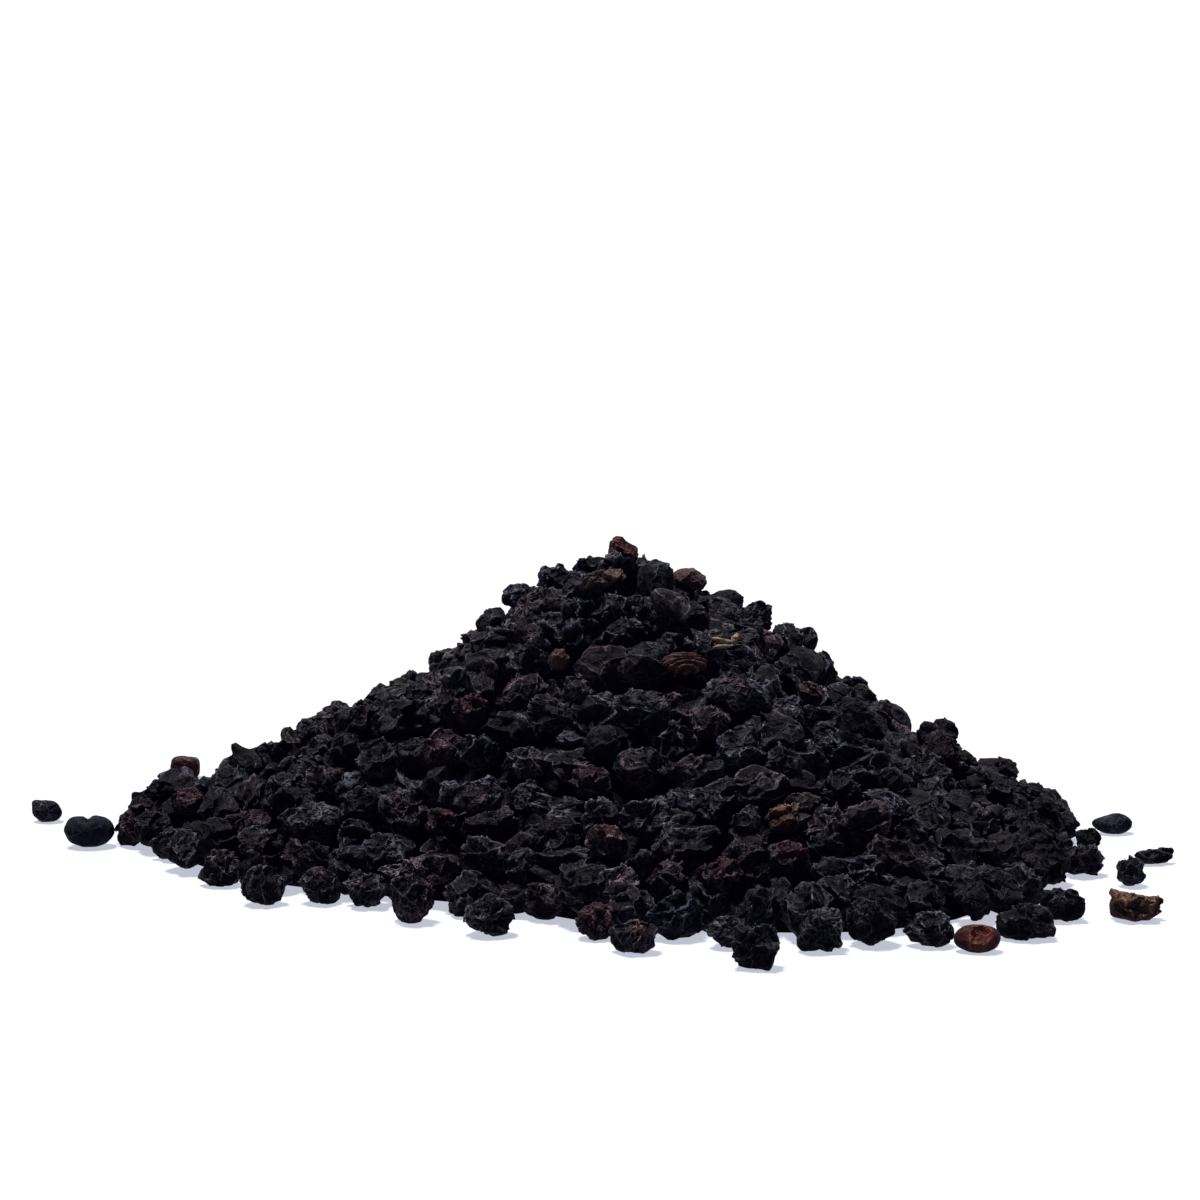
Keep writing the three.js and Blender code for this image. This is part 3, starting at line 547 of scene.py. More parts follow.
def patched(tint, world, patches, shift):
    """A colour at each direction: the tint, or a patch's own colour within an angle from the patch's middle.
    A noise bends the edge of the patch."""
    colours = np.tile(np.array(tint, float), (len(world), 1))
    for middle, width, own in patches:
        off = degrees_off(world, middle)
        share = np.clip((width - off) / 14 + 2.2 * wandering(world * 2.2 + shift), 0, 1)[:, None]
        colours = colours * (1 - share) + np.array(own) * share
    return colours


def boxed(points, low, high):
    """Points scaled and moved, each axis by itself, so that their box has these corners."""
    least, most = points.min(0), points.max(0)
    return low + (points - least) / (most - least) * (high - low)


# How the skin of each kind of berry is crumpled: large and small cells, how far the large ones stray from an even
# spread, how flat both are, how far the lines sway, the depth of most cells, the number and depth of the deep ones,
# how soon they fall from their line, its lip, slow lumps, the depth of small cells, how close and high the folds
# are, and the number and depth of dents. Depths and heights are shares of the radius.
SKIN_COLUMNS = ("cells", "small_cells", "stray", "squeeze", "sway", "depth", "hollows", "hollow_depth", "wall",
                "lip", "lumps", "small_depth", "folds", "fold_height", "dents", "dent_depth")
SKIN_KINDS = dict(
    cupped=(8, 100, 0.5, (0.6, 1.0), 0.42, 0.20, 3, 0.42, 0.24, 0.15, 0.5, 0.06, 1.7, 0.12, 2, 0.25),
    folded=(9, 120, 0.4, (0.3, 0.5), 0.40, 0.20, 2, 0.34, 0.16, 0.11, 0.5, 0.08, 2.0, 0.17, 2, 0.3),
    netted=(12, 130, 0.4, (0.45, 0.85), 0.40, 0.18, 2, 0.3, 0.15, 0.10, 0.5, 0.08, 1.9, 0.13, 3, 0.25),
    block=(7, 70, 0.3, (0.7, 1.0), 0.34, 0.14, 1, 0.22, 0.3, 0.09, 0.4, 0.02, 1.6, 0.05, 1, 0.15),
    bean=(3, 30, 0.2, (0.8, 1.0), 0.15, 0.03, 0, 0.0, 0.4, 0.0, 0.16, 0.0, 1.5, 0.03, 1, 0.1),
    smooth=(8, 60, 0.3, (0.6, 1.0), 0.3, 0.09, 1, 0.18, 0.24, 0.03, 0.25, 0.03, 1.8, 0.04, 2, 0.2),
    inner=(8, 20, 0.3, (0.6, 1.0), 0.4, 0.2, 1, 0.3, 0.18, 0.05, 0.4, 0.05, 2.0, 0.05, 2, 0.3),
)


def skin_of(kind):
    """The look of a kind of berry's skin, by the names of its columns."""
    return dict(zip(SKIN_COLUMNS, SKIN_KINDS[kind]))


def mesh_piece(name, points, faces, material, attributes=None):
    """A smooth mesh object in metres at the origin, with its point attributes and its material."""
    mesh = bpy.data.meshes.new(name)
    mesh.vertices.add(len(points))
    mesh.vertices.foreach_set("co", (np.asarray(points) * MM).astype(np.float32).ravel())
    mesh.loops.add(3 * len(faces))
    mesh.loops.foreach_set("vertex_index", faces.astype(np.int32).ravel())
    mesh.polygons.add(len(faces))
    mesh.polygons.foreach_set("loop_start", np.arange(0, 3 * len(faces), 3, dtype=np.int32))
    mesh.update(calc_edges=True)
    mesh.validate()
    for key, values in (attributes or {}).items():
        layer = mesh.attributes.new(key, "FLOAT_VECTOR", "POINT")
        layer.data.foreach_set("vector", values.astype(np.float32).ravel())
    mesh.polygons.foreach_set("use_smooth", np.ones(len(faces), bool))
    mesh.materials.append(material)
    piece = bpy.data.objects.new(name, mesh)
    bpy.context.scene.collection.objects.link(piece)
    return piece


class Link:
    """A socket of a node tree. Arithmetic on it adds Math nodes, and make() adds any other node."""

    def __init__(self, tree, socket=None):
        self.tree, self.socket = tree, socket

    def make(self, kind, settings=None, inputs=None, output=0):
        """A new node with these settings, its inputs set to values or joined to other links, as the link of one
        of its outputs."""
        node = self.tree.nodes.new(kind)
        for key, value in (settings or {}).items():
            setattr(node, key, value)
        for key, value in (inputs or {}).items():
            socket = node.inputs[key]
            if isinstance(value, Link):
                self.tree.links.new(value.socket, socket)
            elif isinstance(value, (tuple, list)) and socket.type == "RGBA":
                socket.default_value = (*value[:3], 1)
            else:
                socket.default_value = value
        return Link(self.tree, node.outputs[output] if node.outputs else None)

    def maths(self, operation, *values, clamp=False):
        """A Math node on these values."""
        inputs = dict(enumerate(values))
        return self.make("ShaderNodeMath", dict(operation=operation, use_clamp=clamp), inputs)

    def larger(self, other):
        """The larger of two values."""
        return self.maths("MAXIMUM", self, other)

    def clamped(self):
        """The value kept from 0 to 1."""
        return self.maths("ADD", self, 0.0, clamp=True)

    def __add__(self, other):
        return self.maths("ADD", self, other)

    def __sub__(self, other):
        return self.maths("SUBTRACT", self, other)

    def __rsub__(self, other):
        return self.maths("SUBTRACT", other, self)

    def __mul__(self, other):
        return self.maths("MULTIPLY", self, other)

    def __truediv__(self, other):
        return self.maths("DIVIDE", self, other)

    def __pow__(self, other):
        return self.maths("POWER", self, other)

    __radd__, __rmul__ = __add__, __mul__

    def mixed(self, share, first, second, blend="MIX"):
        """A colour from the first to the second by a share from 0 to 1, or multiplied by it."""
        inputs = {0: share, 6: first, 7: second}
        return self.make("ShaderNodeMix", dict(data_type="RGBA", blend_type=blend), inputs, 2)


def new_material(name):
    """A material with an empty node tree, and a link to the tree."""
    material = bpy.data.materials.new(name)
    material.use_nodes = True
    material.node_tree.nodes.clear()
    return material, Link(material.node_tree)


def skin_material(name, valley, ridge, bloom, glow, rough, spec):
    """Dried skin with fine wrinkles. Along the ridges and wrinkles it is paler and a little waxy: partly rubbed skin,
    and partly a painted highlight where their crests catch the light. It is dark between the ridges, and darker still
    where it has sunk in, as painted shade in the hollows. The valley's colour, that of sunk skin, is that painted
    shade, and the bloom's is that of open skin. The glow is a faint light that the skin gives off, as painted light in
    its deepest shade."""
    material, tree = new_material(name)

    def parts(attribute):
        """The three values of an attribute."""
        vector = tree.make("ShaderNodeAttribute", dict(attribute_name=attribute), output=1)
        split = tree.make("ShaderNodeSeparateXYZ", inputs={0: vector}).socket.node
        return [Link(tree.tree, split.outputs[k]) for k in range(3)]

    large, small, sunk = parts("lines")
    lightness, wrinkled, spot = parts("kind")
    tint = tree.make("ShaderNodeAttribute", dict(attribute_name="tint"), output=0)
    fold = tree.make("ShaderNodeAttribute", dict(attribute_name="fold"), output=1)

    def noise(scale, detail, output=0, vector=fold):
        """A noise as a value, or with output 1 as a colour."""
        return tree.make("ShaderNodeTexNoise", {}, {"Vector": vector, "Scale": scale, "Detail": detail}, output)

    def creases(scale, detail, gain):
        """Sharp crests that wander and branch, finer ones riding on the larger: a ridged noise."""
        return tree.make("ShaderNodeTexNoise", dict(noise_type="RIDGED_MULTIFRACTAL", normalize=False), {
            "Vector": bent, "Scale": scale, "Detail": detail, "Roughness": 0.5, "Lacunarity": 2.3,
            "Offset": 1.0, "Gain": gain})

    def lines_along(scale, levels, width, sharpness):
        """Thin wandering lines side by side, along which a slow noise has one of several values."""
        off = tree.maths("FRACT", noise(scale, 0.6, vector=bent) * levels) - 0.5
        return ((width - tree.maths("ABSOLUTE", off)) * sharpness).clamped()

    bent = tree.make("ShaderNodeVectorMath", dict(operation="MULTIPLY_ADD"),
                     {0: noise(0.7, 2.0, 1), 1: (1.8,) * 3, 2: fold})
    worn = ((noise(0.35, 2.0) - 0.40) * 4.5).clamped()
    faint = ((noise(0.7, 1.0) - 0.36) * 4.0).clamped()
    blush = ((noise(0.22, 1.0) - 0.57) * 8.0).clamped()
    crumple = creases(0.65, 2.5, 2.0)
    crinkle = creases(1.9, 1.5, 2.0)
    streak = lines_along(0.42, 8.0, 0.13, 11.0)
    fold_line = lines_along(0.8, 3.0, 0.07, 20.0)

    # The lighter lines along the large cells, the small cells and the wrinkles are partly rubbed skin and partly a
    # painted highlight, where their crests would catch the light.
    on_large = ((0.09 - large) * 13.0).clamped() * (faint * 0.6 + 0.4) * (wrinkled * 0.8 + 0.2).clamped()
    on_small = ((0.07 - small) * 18.0).clamped()
    fine = (streak * 0.9).larger(fold_line).larger(on_small * 0.8) * wrinkled * (worn * 0.8 + 0.2)
    pale_and_highlight = ((on_large * 0.9).larger(fine) * (1.1 - sunk * 0.5) * lightness).clamped()
    # Painted shade: where the skin has sunk in, the ground goes from the bloom's colour towards the valley's, so the
    # hollows are darker.
    open_skin = ((1.15 - sunk) * lightness * (worn * 0.5 + 0.5) * (1 - streak * 0.3)).clamped()
    tint = tree.mixed(blush * 0.8, tint, (1.5, 0.95, 1.0))
    ground = tree.mixed(1.0, tree.mixed(open_skin, valley, bloom), tint, "MULTIPLY")
    lit = tree.mixed(1.0, ridge, tint, "MULTIPLY")
    scar = (1 - spot / 0.3).clamped() ** 0.5
    base = tree.mixed(scar, tree.mixed(pale_and_highlight, ground, lit), (0.11, 0.095, 0.085))
    wrinkles = on_small * 0.3 + streak * 0.9 + fold_line * 0.8 + crumple * 0.45 + crinkle * 0.25
    height = on_large * 0.3 + wrinkles * wrinkled
    bump = tree.make("ShaderNodeBump", {}, {"Strength": 1.0, "Distance": 0.0003, "Height": height})
    shader = tree.make("ShaderNodeBsdfPrincipled", {}, {
        "Base Color": base,
        "Roughness": (rough - pale_and_highlight * 0.2 + (noise(3.0, 1.0) - 0.5) * 0.2).clamped(),
        "Specular IOR Level": spec,
        "Coat Weight": (pale_and_highlight * 0.12).clamped(),
        "Coat Roughness": 0.3,
        "Coat IOR": 1.4,
        "Emission Color": glow,
        "Emission Strength": 1.0,
        "Normal": bump,
    })
    tree.make("ShaderNodeOutputMaterial", {}, {"Surface": shader})
    return material


def table_material(name, value, rough, glow):
    """A plain matt surface that gives off a little light."""
    material, tree = new_material(name)
    shader = tree.make("ShaderNodeBsdfPrincipled", {}, {
        "Base Color": value, "Roughness": rough, "Specular IOR Level": 0.0, "Emission Color": glow,
        "Emission Strength": 1.0})
    tree.make("ShaderNodeOutputMaterial", {}, {"Surface": shader})
    return material


def straw_material(name):
    """Dry stalk: fine streaks along its length, darker and paler."""
    material, tree = new_material(name)
    along = tree.make("ShaderNodeAttribute", dict(attribute_name="along"), output=1)
    streaks = tree.make("ShaderNodeTexNoise", {}, {"Vector": along, "Scale": 1.0, "Detail": 3.0}, 0)
    share = ((streaks - 0.35) * 3.0).clamped()
    bump = tree.make("ShaderNodeBump", {}, {"Strength": 0.6, "Distance": 0.0001, "Height": streaks})
    shader = tree.make("ShaderNodeBsdfPrincipled", {}, {
        "Base Color": tree.mixed(share, (0.035, 0.028, 0.021), (0.135, 0.102, 0.068)), "Roughness": 0.7,
        "Specular IOR Level": 0.05, "Normal": bump})
    tree.make("ShaderNodeOutputMaterial", {}, {"Surface": shader})
    return material


SHADE_GLOW = (0.0001, 0.0001, 0.0014)  # a faint bluish glow of the skins: painted light that keeps the deepest shade from falling below this bluish black
SKINS = dict(
    black_skin=skin_material(
        "dried_black_skin", (0.0007, 0.0007, 0.0011), (0.074, 0.0715, 0.0880), (0.0012, 0.0012, 0.0018),
        SHADE_GLOW, 0.60, 0.02),
    red_skin=skin_material(
        "dried_red_skin", (0.0022, 0.0011, 0.0015), (0.066, 0.039, 0.046), (0.0048, 0.0021, 0.0028),
        SHADE_GLOW, 0.60, 0.03),
    brown_skin=skin_material(
        "dried_brown_skin", (0.0045, 0.0030, 0.0028), (0.080, 0.056, 0.052), (0.0110, 0.0068, 0.0060),
        SHADE_GLOW, 0.60, 0.04))
straw = straw_material("dry_straw")

# The spheres that the berries are worked out on, by how well each can be seen.
OUTER = sphere_of_directions(12)
BETWEEN = sphere_of_directions(10)
REAR = sphere_of_directions(6)
INNER = sphere_of_directions(3)
SINGLE = sphere_of_directions(14)

placed = placed_berries()
outline = outline_berries()
heap = heap_berries(placed, outline)
wider = [berry | dict(diameter=ROOM_OF_SINGLES * berry["diameter"]) for berry in placed]
infill = added_berries(wider + heap, **BETWEEN_THEM)
inner = added_berries(placed + heap + infill, **UNDER_THEM)

COOL, WARM, WINE, RUST = (0.97, 0.97, 1.05), (1.07, 1.0, 0.98), (1.40, 0.93, 1.0), (1.30, 1.02, 0.96)
# The berries deep under the others are painted darker, as painted shade: their lightness is scaled by this share.
INNER_LIGHTNESS = 0.3
GROUP_SEEDS, INNER_SEEDS = 1000, 9000
# Berries at the sides are duller: distance from the middle in mm, and how light they are.
DULLER_SIDES = ((12, 38), (1.01, 0.52))


def gathered(berries, sphere, seed, only_kind=None):
    """Points, faces and attributes of many berries as one mesh, each with a crumple, a tint and a lightness
    of its own. Away from the single berries each is spread across the slope, stretched along a level direction
    and flattened."""
    skins, faces = [], []
    for number, berry in enumerate(berries):
        draw = np.random.default_rng(seed + number)
        pick = draw.random()
        mixed = "cupped" if pick < 0.34 else "folded" if pick < 0.60 else "netted" if pick < 0.92 else "smooth"
        kind = only_kind or mixed
        out = outwards(berry["centre"])
        points, marks = crumpled(sphere, berry["form"], out, seed * 7 + number, skin_of(kind))
        if clear_of_singles(berry):
            points = SPREAD * points - (SPREAD - 1) * (points @ out)[:, None] * out
            level = unit(np.cross(out, (0, 0, 1)) + draw.normal(size=3) * (0.3, 0.3, 0.12))
            points = points + draw.uniform(-0.1, 0.45) * (points @ level)[:, None] * level
            points = points * (1, 1, draw.uniform(0.74, 1.0))
        reach = np.linalg.norm(points, axis=1)
        points = points * np.minimum(1, LONGEST_REACH * np.median(reach) / reach)[:, None]
        points = points + np.array(berry["centre"])
        points[:, 2] = np.maximum(points[:, 2], 0)
        shade = draw.random()
        tint = COOL if shade < 0.60 else WARM if shade < 0.90 else WINE if shade < 0.96 else RUST
        marks["tint"] = patched(np.array(tint) * draw.uniform(0.85, 1.15), marks.pop("towards"), [], 0)
        marks["kind"][:, 0] *= draw.uniform(0.5, 1.3) * np.interp(abs(berry["centre"][0]), *DULLER_SIDES)
        marks["kind"][:, 1] *= dict(smooth=0.3).get(kind, 1.0) * draw.uniform(0.6, 1.1)
        faces.append(sphere[1] + len(points) * number)
        skins.append(dict(points=points, **marks))
    joined = {key: np.concatenate([skin[key] for skin in skins]) for key in skins[0]}
    return joined.pop("points"), np.concatenate(faces), joined


def outwards(centre):
    """The direction that faces out of the heap at a place: away from an upright axis 8 mm behind its middle, and
    37 degrees up."""
    away = np.array([centre[0], centre[1], 0.0])
    away[1] -= 8
    return unit(0.8 * unit(away) + np.array([0, 0, 0.6]))


def clear_of_singles(berry):
    """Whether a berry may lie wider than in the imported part: neither on the outline nor beside a single one."""
    centres = np.array([other["centre"] for other in placed])
    apart = np.sqrt(((centres - np.array(berry["centre"])) ** 2).sum(axis=1)).min()
    return "settled" not in berry and apart > NEAR_SINGLE


def in_front(berry):
    """Whether a berry of the heap is on the side that the picture shows: in front of a line 4 mm behind the
    middle, or 10 mm behind it if it is within 6 mm of the top."""
    return berry["centre"][1] < 4 + 6 * (slope_at(0, 0)[1] < berry["centre"][2] + 6)


def shared_out(berries, sphere, parts):
    """The berries in order from left to right, in so many groups, each with the sphere they are worked out on."""
    ordered = sorted(berries, key=lambda berry: berry["centre"][0])
    share = -(-len(ordered) // parts)
    return [(ordered[k * share:(k + 1) * share], sphere) for k in range(parts)]


groups = shared_out([b for b in heap if in_front(b)], OUTER, 3)
groups += shared_out([b for b in infill if in_front(b)], BETWEEN, 2)
groups += shared_out([b for b in heap + infill if not in_front(b)], REAR, 1)
for number, (members, sphere) in enumerate(groups):
    points, faces, attributes = gathered(members, sphere, GROUP_SEEDS * (number + 1))
    piece = mesh_piece(f"heap_berries_{number + 1}", points, faces, SKINS["black_skin"], attributes)
    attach(piece, "root")
    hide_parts("berry_heap")
points, faces, attributes = gathered(inner, INNER, INNER_SEEDS, "inner")
# Painted shade: the berries deep in the heap are made darker.
attributes["kind"][:, 0] *= INNER_LIGHTNESS
piece = mesh_piece("inner_berries", points, faces, SKINS["black_skin"], attributes)
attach(piece, "root")
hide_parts("berry_heap")

# How the single berries differ from the common look: kind of skin, lightness, wrinkles, tint, and patches, dishes,
# ribs and spikes of their own. A patch is a direction, an angle in degrees and a tint.
RED = {"back_left_red_berry", "front_red_berry", "peak_red_berry"} | {f"slope_red_berry_{k}" for k in range(1, 10)}
BROWN = {"right_brown_husk", "front_oval_half", "peak_brown_skin", "shoulder_brown_berry", "ribbed_skin",
         "left_tan_seed", "slope_brown_berry_1"}
DULL = (0.65, 0.80, 0.85)
RED_PATCH = [((0.1, -0.6, 1), 66, (1.35, 1.12, 1.12))]
SINGLES = {
    "left_smooth_berry": dict(kind="bean", light=0.15, wrinkles=0.25, tint=(4.2, 4.5, 5.4),
                              spikes=[((-0.1, -0.75, 1), -0.24, 0.2), ((-0.1, -0.25, 1), -0.32, 0.2),
                                      ((-0.1, 0.2, 1), -0.32, 0.2), ((-0.1, 0.7, 1), -0.26, 0.2)]),
    "front_large_berry": dict(kind="netted", light=0.85, wrinkles=0.9, tint=(0.92, 1.0, 1.12), seed=33),
    "front_brown_berry": dict(tint=(1.1, 0.98, 0.98), patches=[((0.25, -0.6, 0.9), 46, (2.8, 1.75, 1.4))]),
    "front_block_berry": dict(kind="folded", light=0.75, wrinkles=0.6, tint=(0.98, 0.97, 1.02), seed=71),
    "front_square_berry": dict(kind="cupped", light=0.9, wrinkles=0.8),
    "front_round_berry": dict(kind="cupped", light=0.6, wrinkles=0.5),
    "front_wedge_berry": dict(kind="cupped", light=0.6, wrinkles=0.5),
    "front_oval_half": dict(kind="bean", light=1.0, wrinkles=0.4, tint=(1.5, 0.8, 0.72),
                            patches=[((0, -0.9, 0.5), 66, (2.8, 1.05, 0.85))],
                            dishes=[((0, -0.85, 0.6), 40, 0.26)]),
    "right_brown_husk": dict(kind="netted", light=1.0, wrinkles=0.9, tint=(1.7, 1.33, 0.82),
                             spikes=[((1, 0, 0.3), 0.16, 0.2), ((-1, 0, 0.95), 0.2, 0.13),
                                     ((-1, 0, -0.6), 0.1, 0.2)]),
    "right_wedge_berry": dict(kind="cupped", light=0.6, wrinkles=0.6, spikes=[((-1, 0, 0.9), 0.15, 0.2)]),
    "right_long_piece": dict(light=0.7, wrinkles=0.6),
    "far_right_berry": dict(kind="bean", light=0.2, wrinkles=0.4, tint=(4.6, 4.5, 5.0)),
    "far_left_berry": dict(kind="bean", light=0.2, wrinkles=0.8, tint=(4.2, 3.6, 4.2)),
    "right_corner_berry": dict(light=0.85),
    "front_stemmed_berry": dict(patches=[((-0.9, -0.6, 0.3), 11, (2.2, 1.9, 1.6))]),
    "left_front_berry": dict(patches=[((-0.6, -0.8, 0.1), 10, (2.2, 1.9, 1.6))]),
    "left_edge_berry": dict(tint=(1.12, 1.0, 0.98), patches=[((-0.2, -0.3, 1), 32, (1.5, 1.1, 0.98))]),
    "peak_red_berry": dict(kind="block", light=0.6, wrinkles=0.6, tint=(3.6, 2.1, 1.6),
                           patches=[((0, -1, 0.2), 20, (3.0, 2.8, 2.4))]),
    "peak_brown_skin": dict(kind="folded", light=0.7, wrinkles=0.8, tint=(0.45, 0.5, 0.6),
                            patches=[((0.4, -0.5, 1), 50, (2.2, 1.9, 1.7))]),
    "shoulder_brown_berry": dict(kind="smooth", light=0.6, wrinkles=0.7, tint=(2.2, 1.85, 1.75)),
    "shoulder_smooth_berry": dict(kind="bean", light=0.15, wrinkles=0.6, tint=(12, 10, 10),
                                  patches=[((1, -0.45, -0.35), 26, (70, 60, 46))]),
    "ribbed_skin": dict(kind="bean", light=1.0, wrinkles=0.3, tint=(1.8, 1.2, 1.0),
                        ribs=[((0.1, -0.7, -0.75), 3.0, 0.10)]),
    "left_tan_seed": dict(kind="smooth", light=1.0, wrinkles=0.4, tint=(1.5, 1.35, 1.1)),
    "slope_brown_berry_1": dict(kind="folded", tint=(0.6, 0.7, 0.8), patches=[
        ((-0.1, -0.6, 1), 58, (1.9, 1.55, 1.3)), ((-0.4, -1, -0.35), 42, (2.6, 1.35, 1.0)),
        ((-0.5, -0.4, 1), 30, (3.0, 1.5, 1.1))]),
    "front_red_berry": dict(tint=(0.85, 0.75, 0.95)),
    "back_left_red_berry": dict(kind="bean", light=0.6, wrinkles=0.8, tint=(2.6, 1.9, 1.7), patches=[]),
}


def fitted(points, node):
    """Points scaled and moved, each axis by itself, so that their box is the node's."""
    low, high = (np.array(c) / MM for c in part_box(node))
    return boxed(points, low, high)


SINGLE_SEEDS = 600

for number, berry in enumerate(placed):
    name = berry["name"]
    slot = "red_skin" if name in RED else "brown_skin" if name in BROWN else "black_skin"
    common = dict(tint=DULL, patches=RED_PATCH) if name in RED else {}
    own = common | SINGLES.get(name, {})
    look = skin_of(own.get("kind", "netted"))
    seed = own.get("seed", SINGLE_SEEDS + number)
    points, marks = crumpled(SINGLE, berry["form"], outwards(berry["centre"]), seed, look, own)
    points = points + np.array(berry["centre"])
    if name in {row[0] for row in ON_TABLE}:
        points[:, 2] = np.maximum(points[:, 2], 0)
    points = fitted(points, name)
    marks["tint"] = patched(own.get("tint", (1, 1, 1)), marks.pop("towards"), own.get("patches", []), 7.0 * number)
    marks["kind"][:, 0] *= own.get("light", 0.9)
    marks["kind"][:, 1] *= own.get("wrinkles", 1.0)
    piece = mesh_piece(name + "_skin", points, SINGLE[1], SKINS[slot], marks)
    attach(piece, "root")
    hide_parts(name)

# Bits of straw-coloured stalk: the points that each bends past and how thick it is there, in mm.
STALKS = [
    ([(9.15, -11.4, 23.1), (10.1, -11.8, 23.15), (11.0, -11.8, 22.55), (12.1, -11.5, 22.8)], (0.20, 0.60, 0.40, 0.10)),
    ([(9.1, -12.2, 22.05), (10.2, -12.3, 22.6), (10.9, -12.3, 22.3), (11.6, -11.9, 22.5)], (0.16, 0.42, 0.28, 0.14)),
    ([(11.2, -11.7, 22.4), (11.5, -11.7, 22.7), (11.6, -11.5, 23.2), (11.95, -11.3, 23.5)], (0.20, 0.44, 0.50, 0.36)),
    ([(11.6, -11.5, 22.7), (12.2, -11.0, 22.9), (12.6, -10.4, 22.5), (12.7, -10.1, 22.0)], (0.06, 0.06, 0.05, 0.03)),
]


def stalk_bits(sides=10, steps=28):
    """Points and faces of the stalks. Each is a tube along the cubic curve of its four points, whose thickness
    changes evenly from point to point and varies by noise. Its ends are closed. The third result has, at each
    point, its place round and along the stalk."""
    points, faces, along = [], [], []
    share = np.linspace(0, 1, steps)
    around = np.arange(sides) * 2 * np.pi / sides
    for number, (path, thick) in enumerate(STALKS):
        path = np.array(path)
        rest = 1 - share
        middle = np.stack([rest**3, 3 * share * rest**2, 3 * share**2 * rest, share**3], 1) @ path
        forward = unit(np.gradient(middle, axis=0))
        side = unit(np.cross(forward, (0.0, 0.3, 1.0)))
        up = np.cross(side, forward)
        radius = np.interp(share, (0, 0.33, 0.67, 1), thick)[:, None]
        spot = np.stack([share[:, None] * 3 + 0 * around, np.cos(around) + 0 * radius, np.sin(around) + 0 * radius], -1)
        rough = wandering(spot.reshape(-1, 3) * 1.7 + 11 * number).reshape(steps, sides)
        reach = (radius * (1 + 0.7 * rough))[..., None]
        ring = (side[:, None] * np.cos(around)[:, None] + 0.6 * up[:, None] * np.sin(around)[:, None]) * reach
        tube = np.concatenate([(middle[:, None] + ring).reshape(-1, 3), middle[:1], middle[-1:]])
        k = np.arange(sides)
        n = (k + 1) % sides
        a = (np.arange(steps - 1) * sides)[:, None]
        walls = [np.stack([a + k, a + n, a + sides + n], -1), np.stack([a + k, a + sides + n, a + sides + k], -1)]
        last = (steps - 1) * sides
        first_end, last_end = 0 * k + steps * sides, 0 * k + steps * sides + 1
        ends = [np.stack([first_end, n, k], 1), np.stack([last_end, last + k, last + n], 1)]
        shift = sum(len(p) for p in points)
        faces.append(np.concatenate([w.reshape(-1, 3) for w in walls] + ends) + shift)
        points.append(tube)
        round_and_along = np.stack([share[:, None] * 4 + 0 * around, np.cos(around) * 4 + 0 * radius,
                                    np.sin(around) * 4 + 0 * radius], -1).reshape(-1, 3)
        along.append(np.concatenate([round_and_along, round_and_along[:1], round_and_along[-1:]]))
    return np.concatenate(points), np.concatenate(faces), np.concatenate(along)


points, faces, along = stalk_bits()
piece = mesh_piece("straw_bits", fitted(points, "stalk_bits"), faces, straw, dict(along=along))
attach(piece, "root")
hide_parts("stalk_bits")

INSIDE_UNDER = 3.6  # how far the dark inside lies under the slope
INSIDE_MARGIN = 4.5  # and how far inside the foot
INSIDE_LOWEST = 0.4
OVER_TABLE = 0.02


def inside_form(sides=72, rings=24):
    """Points and faces of the dark form that fills the heap under its berries, as painted shade deep in the heap: a
    middle point, rings of points under the slope, and a flat underside just over the table."""
    around = np.linspace(0, 2 * np.pi, sides + 1)[:-1]
    share = np.linspace(0, 1, rings + 1)[1:]
    reach = (foot_radius(np.cos(around), np.sin(around)) - INSIDE_MARGIN)[None, :] * share[:, None]
    x, y = reach * np.cos(around), reach * np.sin(around)
    z = np.maximum(slope_at(x, y)[1] - INSIDE_UNDER, INSIDE_LOWEST)
    z[-1] = OVER_TABLE
    top = [[0, 0, slope_at(0.0, 0.0)[1] - INSIDE_UNDER]]
    points = np.concatenate([top, np.stack([x, y, z], -1).reshape(-1, 3), [[0, 0, OVER_TABLE]]])
    k = np.arange(sides)
    n = (k + 1) % sides
    faces = [np.stack([0 * k, 1 + k, 1 + n], 1)]
    for ring in range(rings - 1):
        a, b = 1 + sides * ring, 1 + sides * (ring + 1)
        faces += [np.stack([a + k, b + k, b + n], 1), np.stack([a + k, b + n, a + n], 1)]
    last = 1 + sides * (rings - 1)
    faces.append(np.stack([np.full(sides, len(points) - 1), last + n, last + k], 1))
    return points, np.concatenate(faces)


points, faces = inside_form()
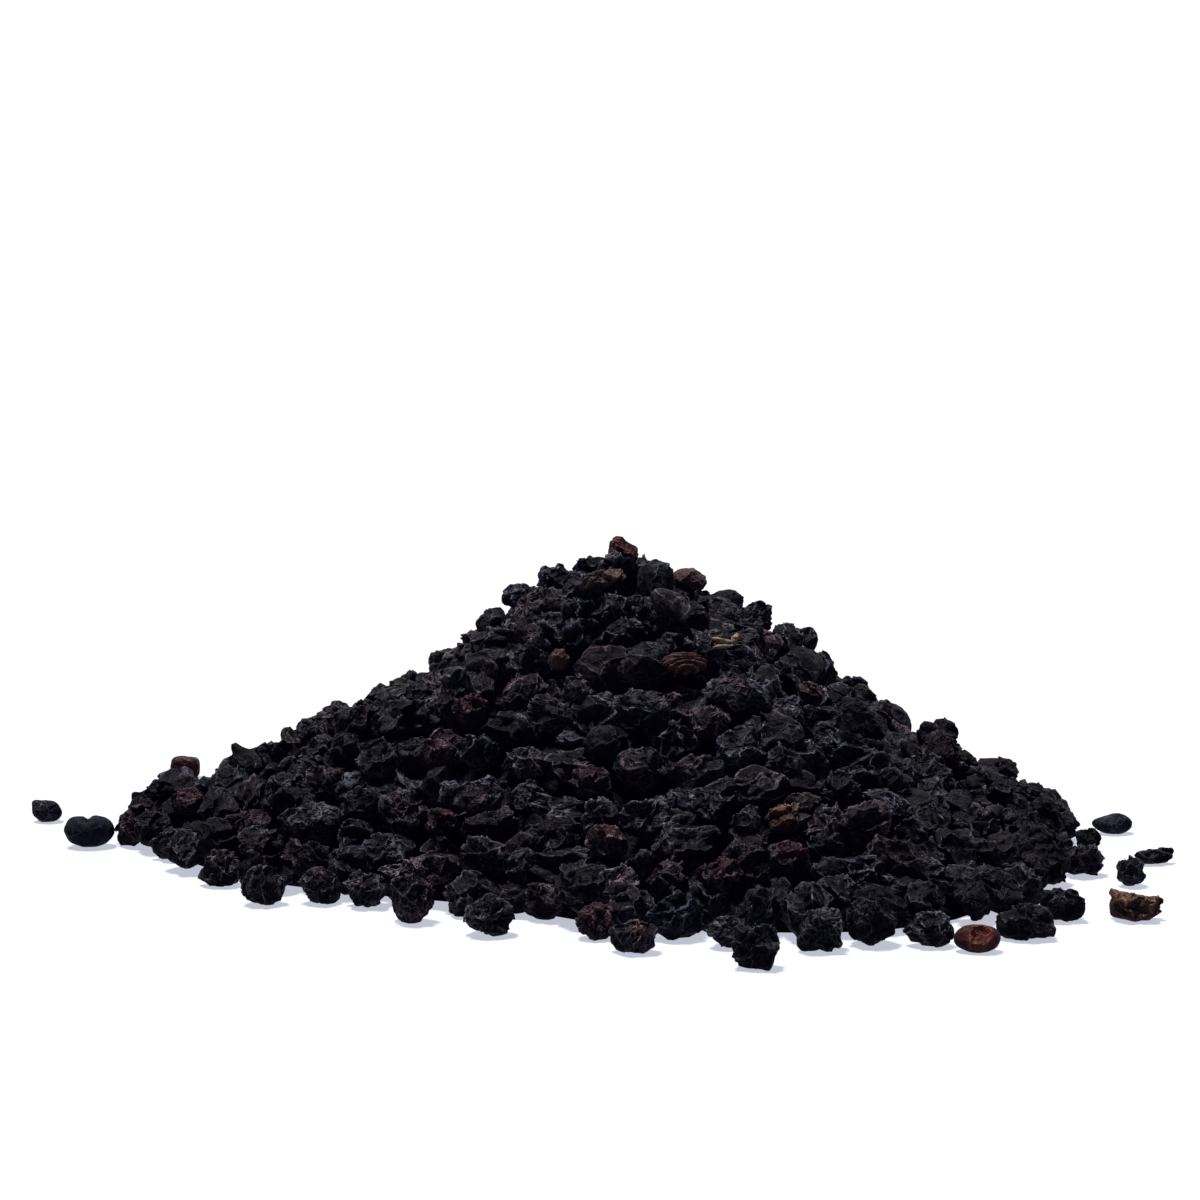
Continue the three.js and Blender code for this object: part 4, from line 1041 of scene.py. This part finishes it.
# It has the berries' own skin, kept dark as painted shade: far from every line, hardly light at all, and with a dark
# tint.
every = np.ones((len(points), 1))
attributes = dict(lines=every * (9, 9, 0), fold=points, kind=every * (0.05, 1, 9), tint=every * (0.4, 0.4, 0.4))
piece = mesh_piece("heap_inside_shade", points, faces, SKINS["black_skin"], attributes)
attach(piece, "root")
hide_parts("berry_heap")

# The table, the light and the camera.
TABLE_REACH = 6000
TABLE_HEIGHT = -0.05
white = table_material("white_table", (0.145, 0.145, 0.145), 1.0, (0.50, 0.52, 0.60))
corners = [(a * TABLE_REACH, b * TABLE_REACH, TABLE_HEIGHT) for a, b in ((-1, -1), (1, -1), (1, 1), (-1, 1))]
floor = mesh_piece("table_top", np.array(corners), np.array([(0, 1, 2), (0, 2, 3)]), white)

world = bpy.data.worlds.new("soft_light")
bpy.context.scene.world = world
world.use_nodes = True
sky = Link(world.node_tree)
world.node_tree.nodes.clear()
towards = sky.make("ShaderNodeSeparateXYZ", inputs={0: sky.make("ShaderNodeTexCoord", output=0)}).socket.node
behind = ((Link(sky.tree, towards.outputs[1]) - 0.1) * 1.6).clamped()
room = sky.make("ShaderNodeMix", dict(data_type="RGBA"), {0: behind, 6: (0.12, 0.125, 0.20), 7: (1.3, 1.3, 1.3)}, 2)
light = sky.make("ShaderNodeBackground", {}, {"Color": room, "Strength": 1.0})
sky.make("ShaderNodeOutputWorld", {}, {"Surface": light})
sun = bpy.data.lights.new("overhead", "SUN")
sun.energy = 11.0
sun.angle = 11 * DEGREES
lamp = bpy.data.objects.new("overhead", sun)
lamp.rotation_euler = (-8 * DEGREES, -10 * DEGREES, 0)
bpy.context.scene.collection.objects.link(lamp)

TILT = 8.5 * DEGREES
DISTANCE = 0.35
looked_at = Vector((-1.4, 0, 25.1)) * MM
back = Vector((0, -np.cos(TILT), np.sin(TILT)))
camera = bpy.data.objects.new("camera", bpy.data.cameras.new("camera"))
camera.data.lens = 105
camera.data.sensor_width = 36
camera.data.clip_end = 30
camera.location = looked_at + back * DISTANCE
camera.rotation_euler = (-back).to_track_quat("-Z", "Y").to_euler()
bpy.context.scene.collection.objects.link(camera)
bpy.context.scene.camera = camera
bpy.context.scene.view_settings.view_transform = "Standard"
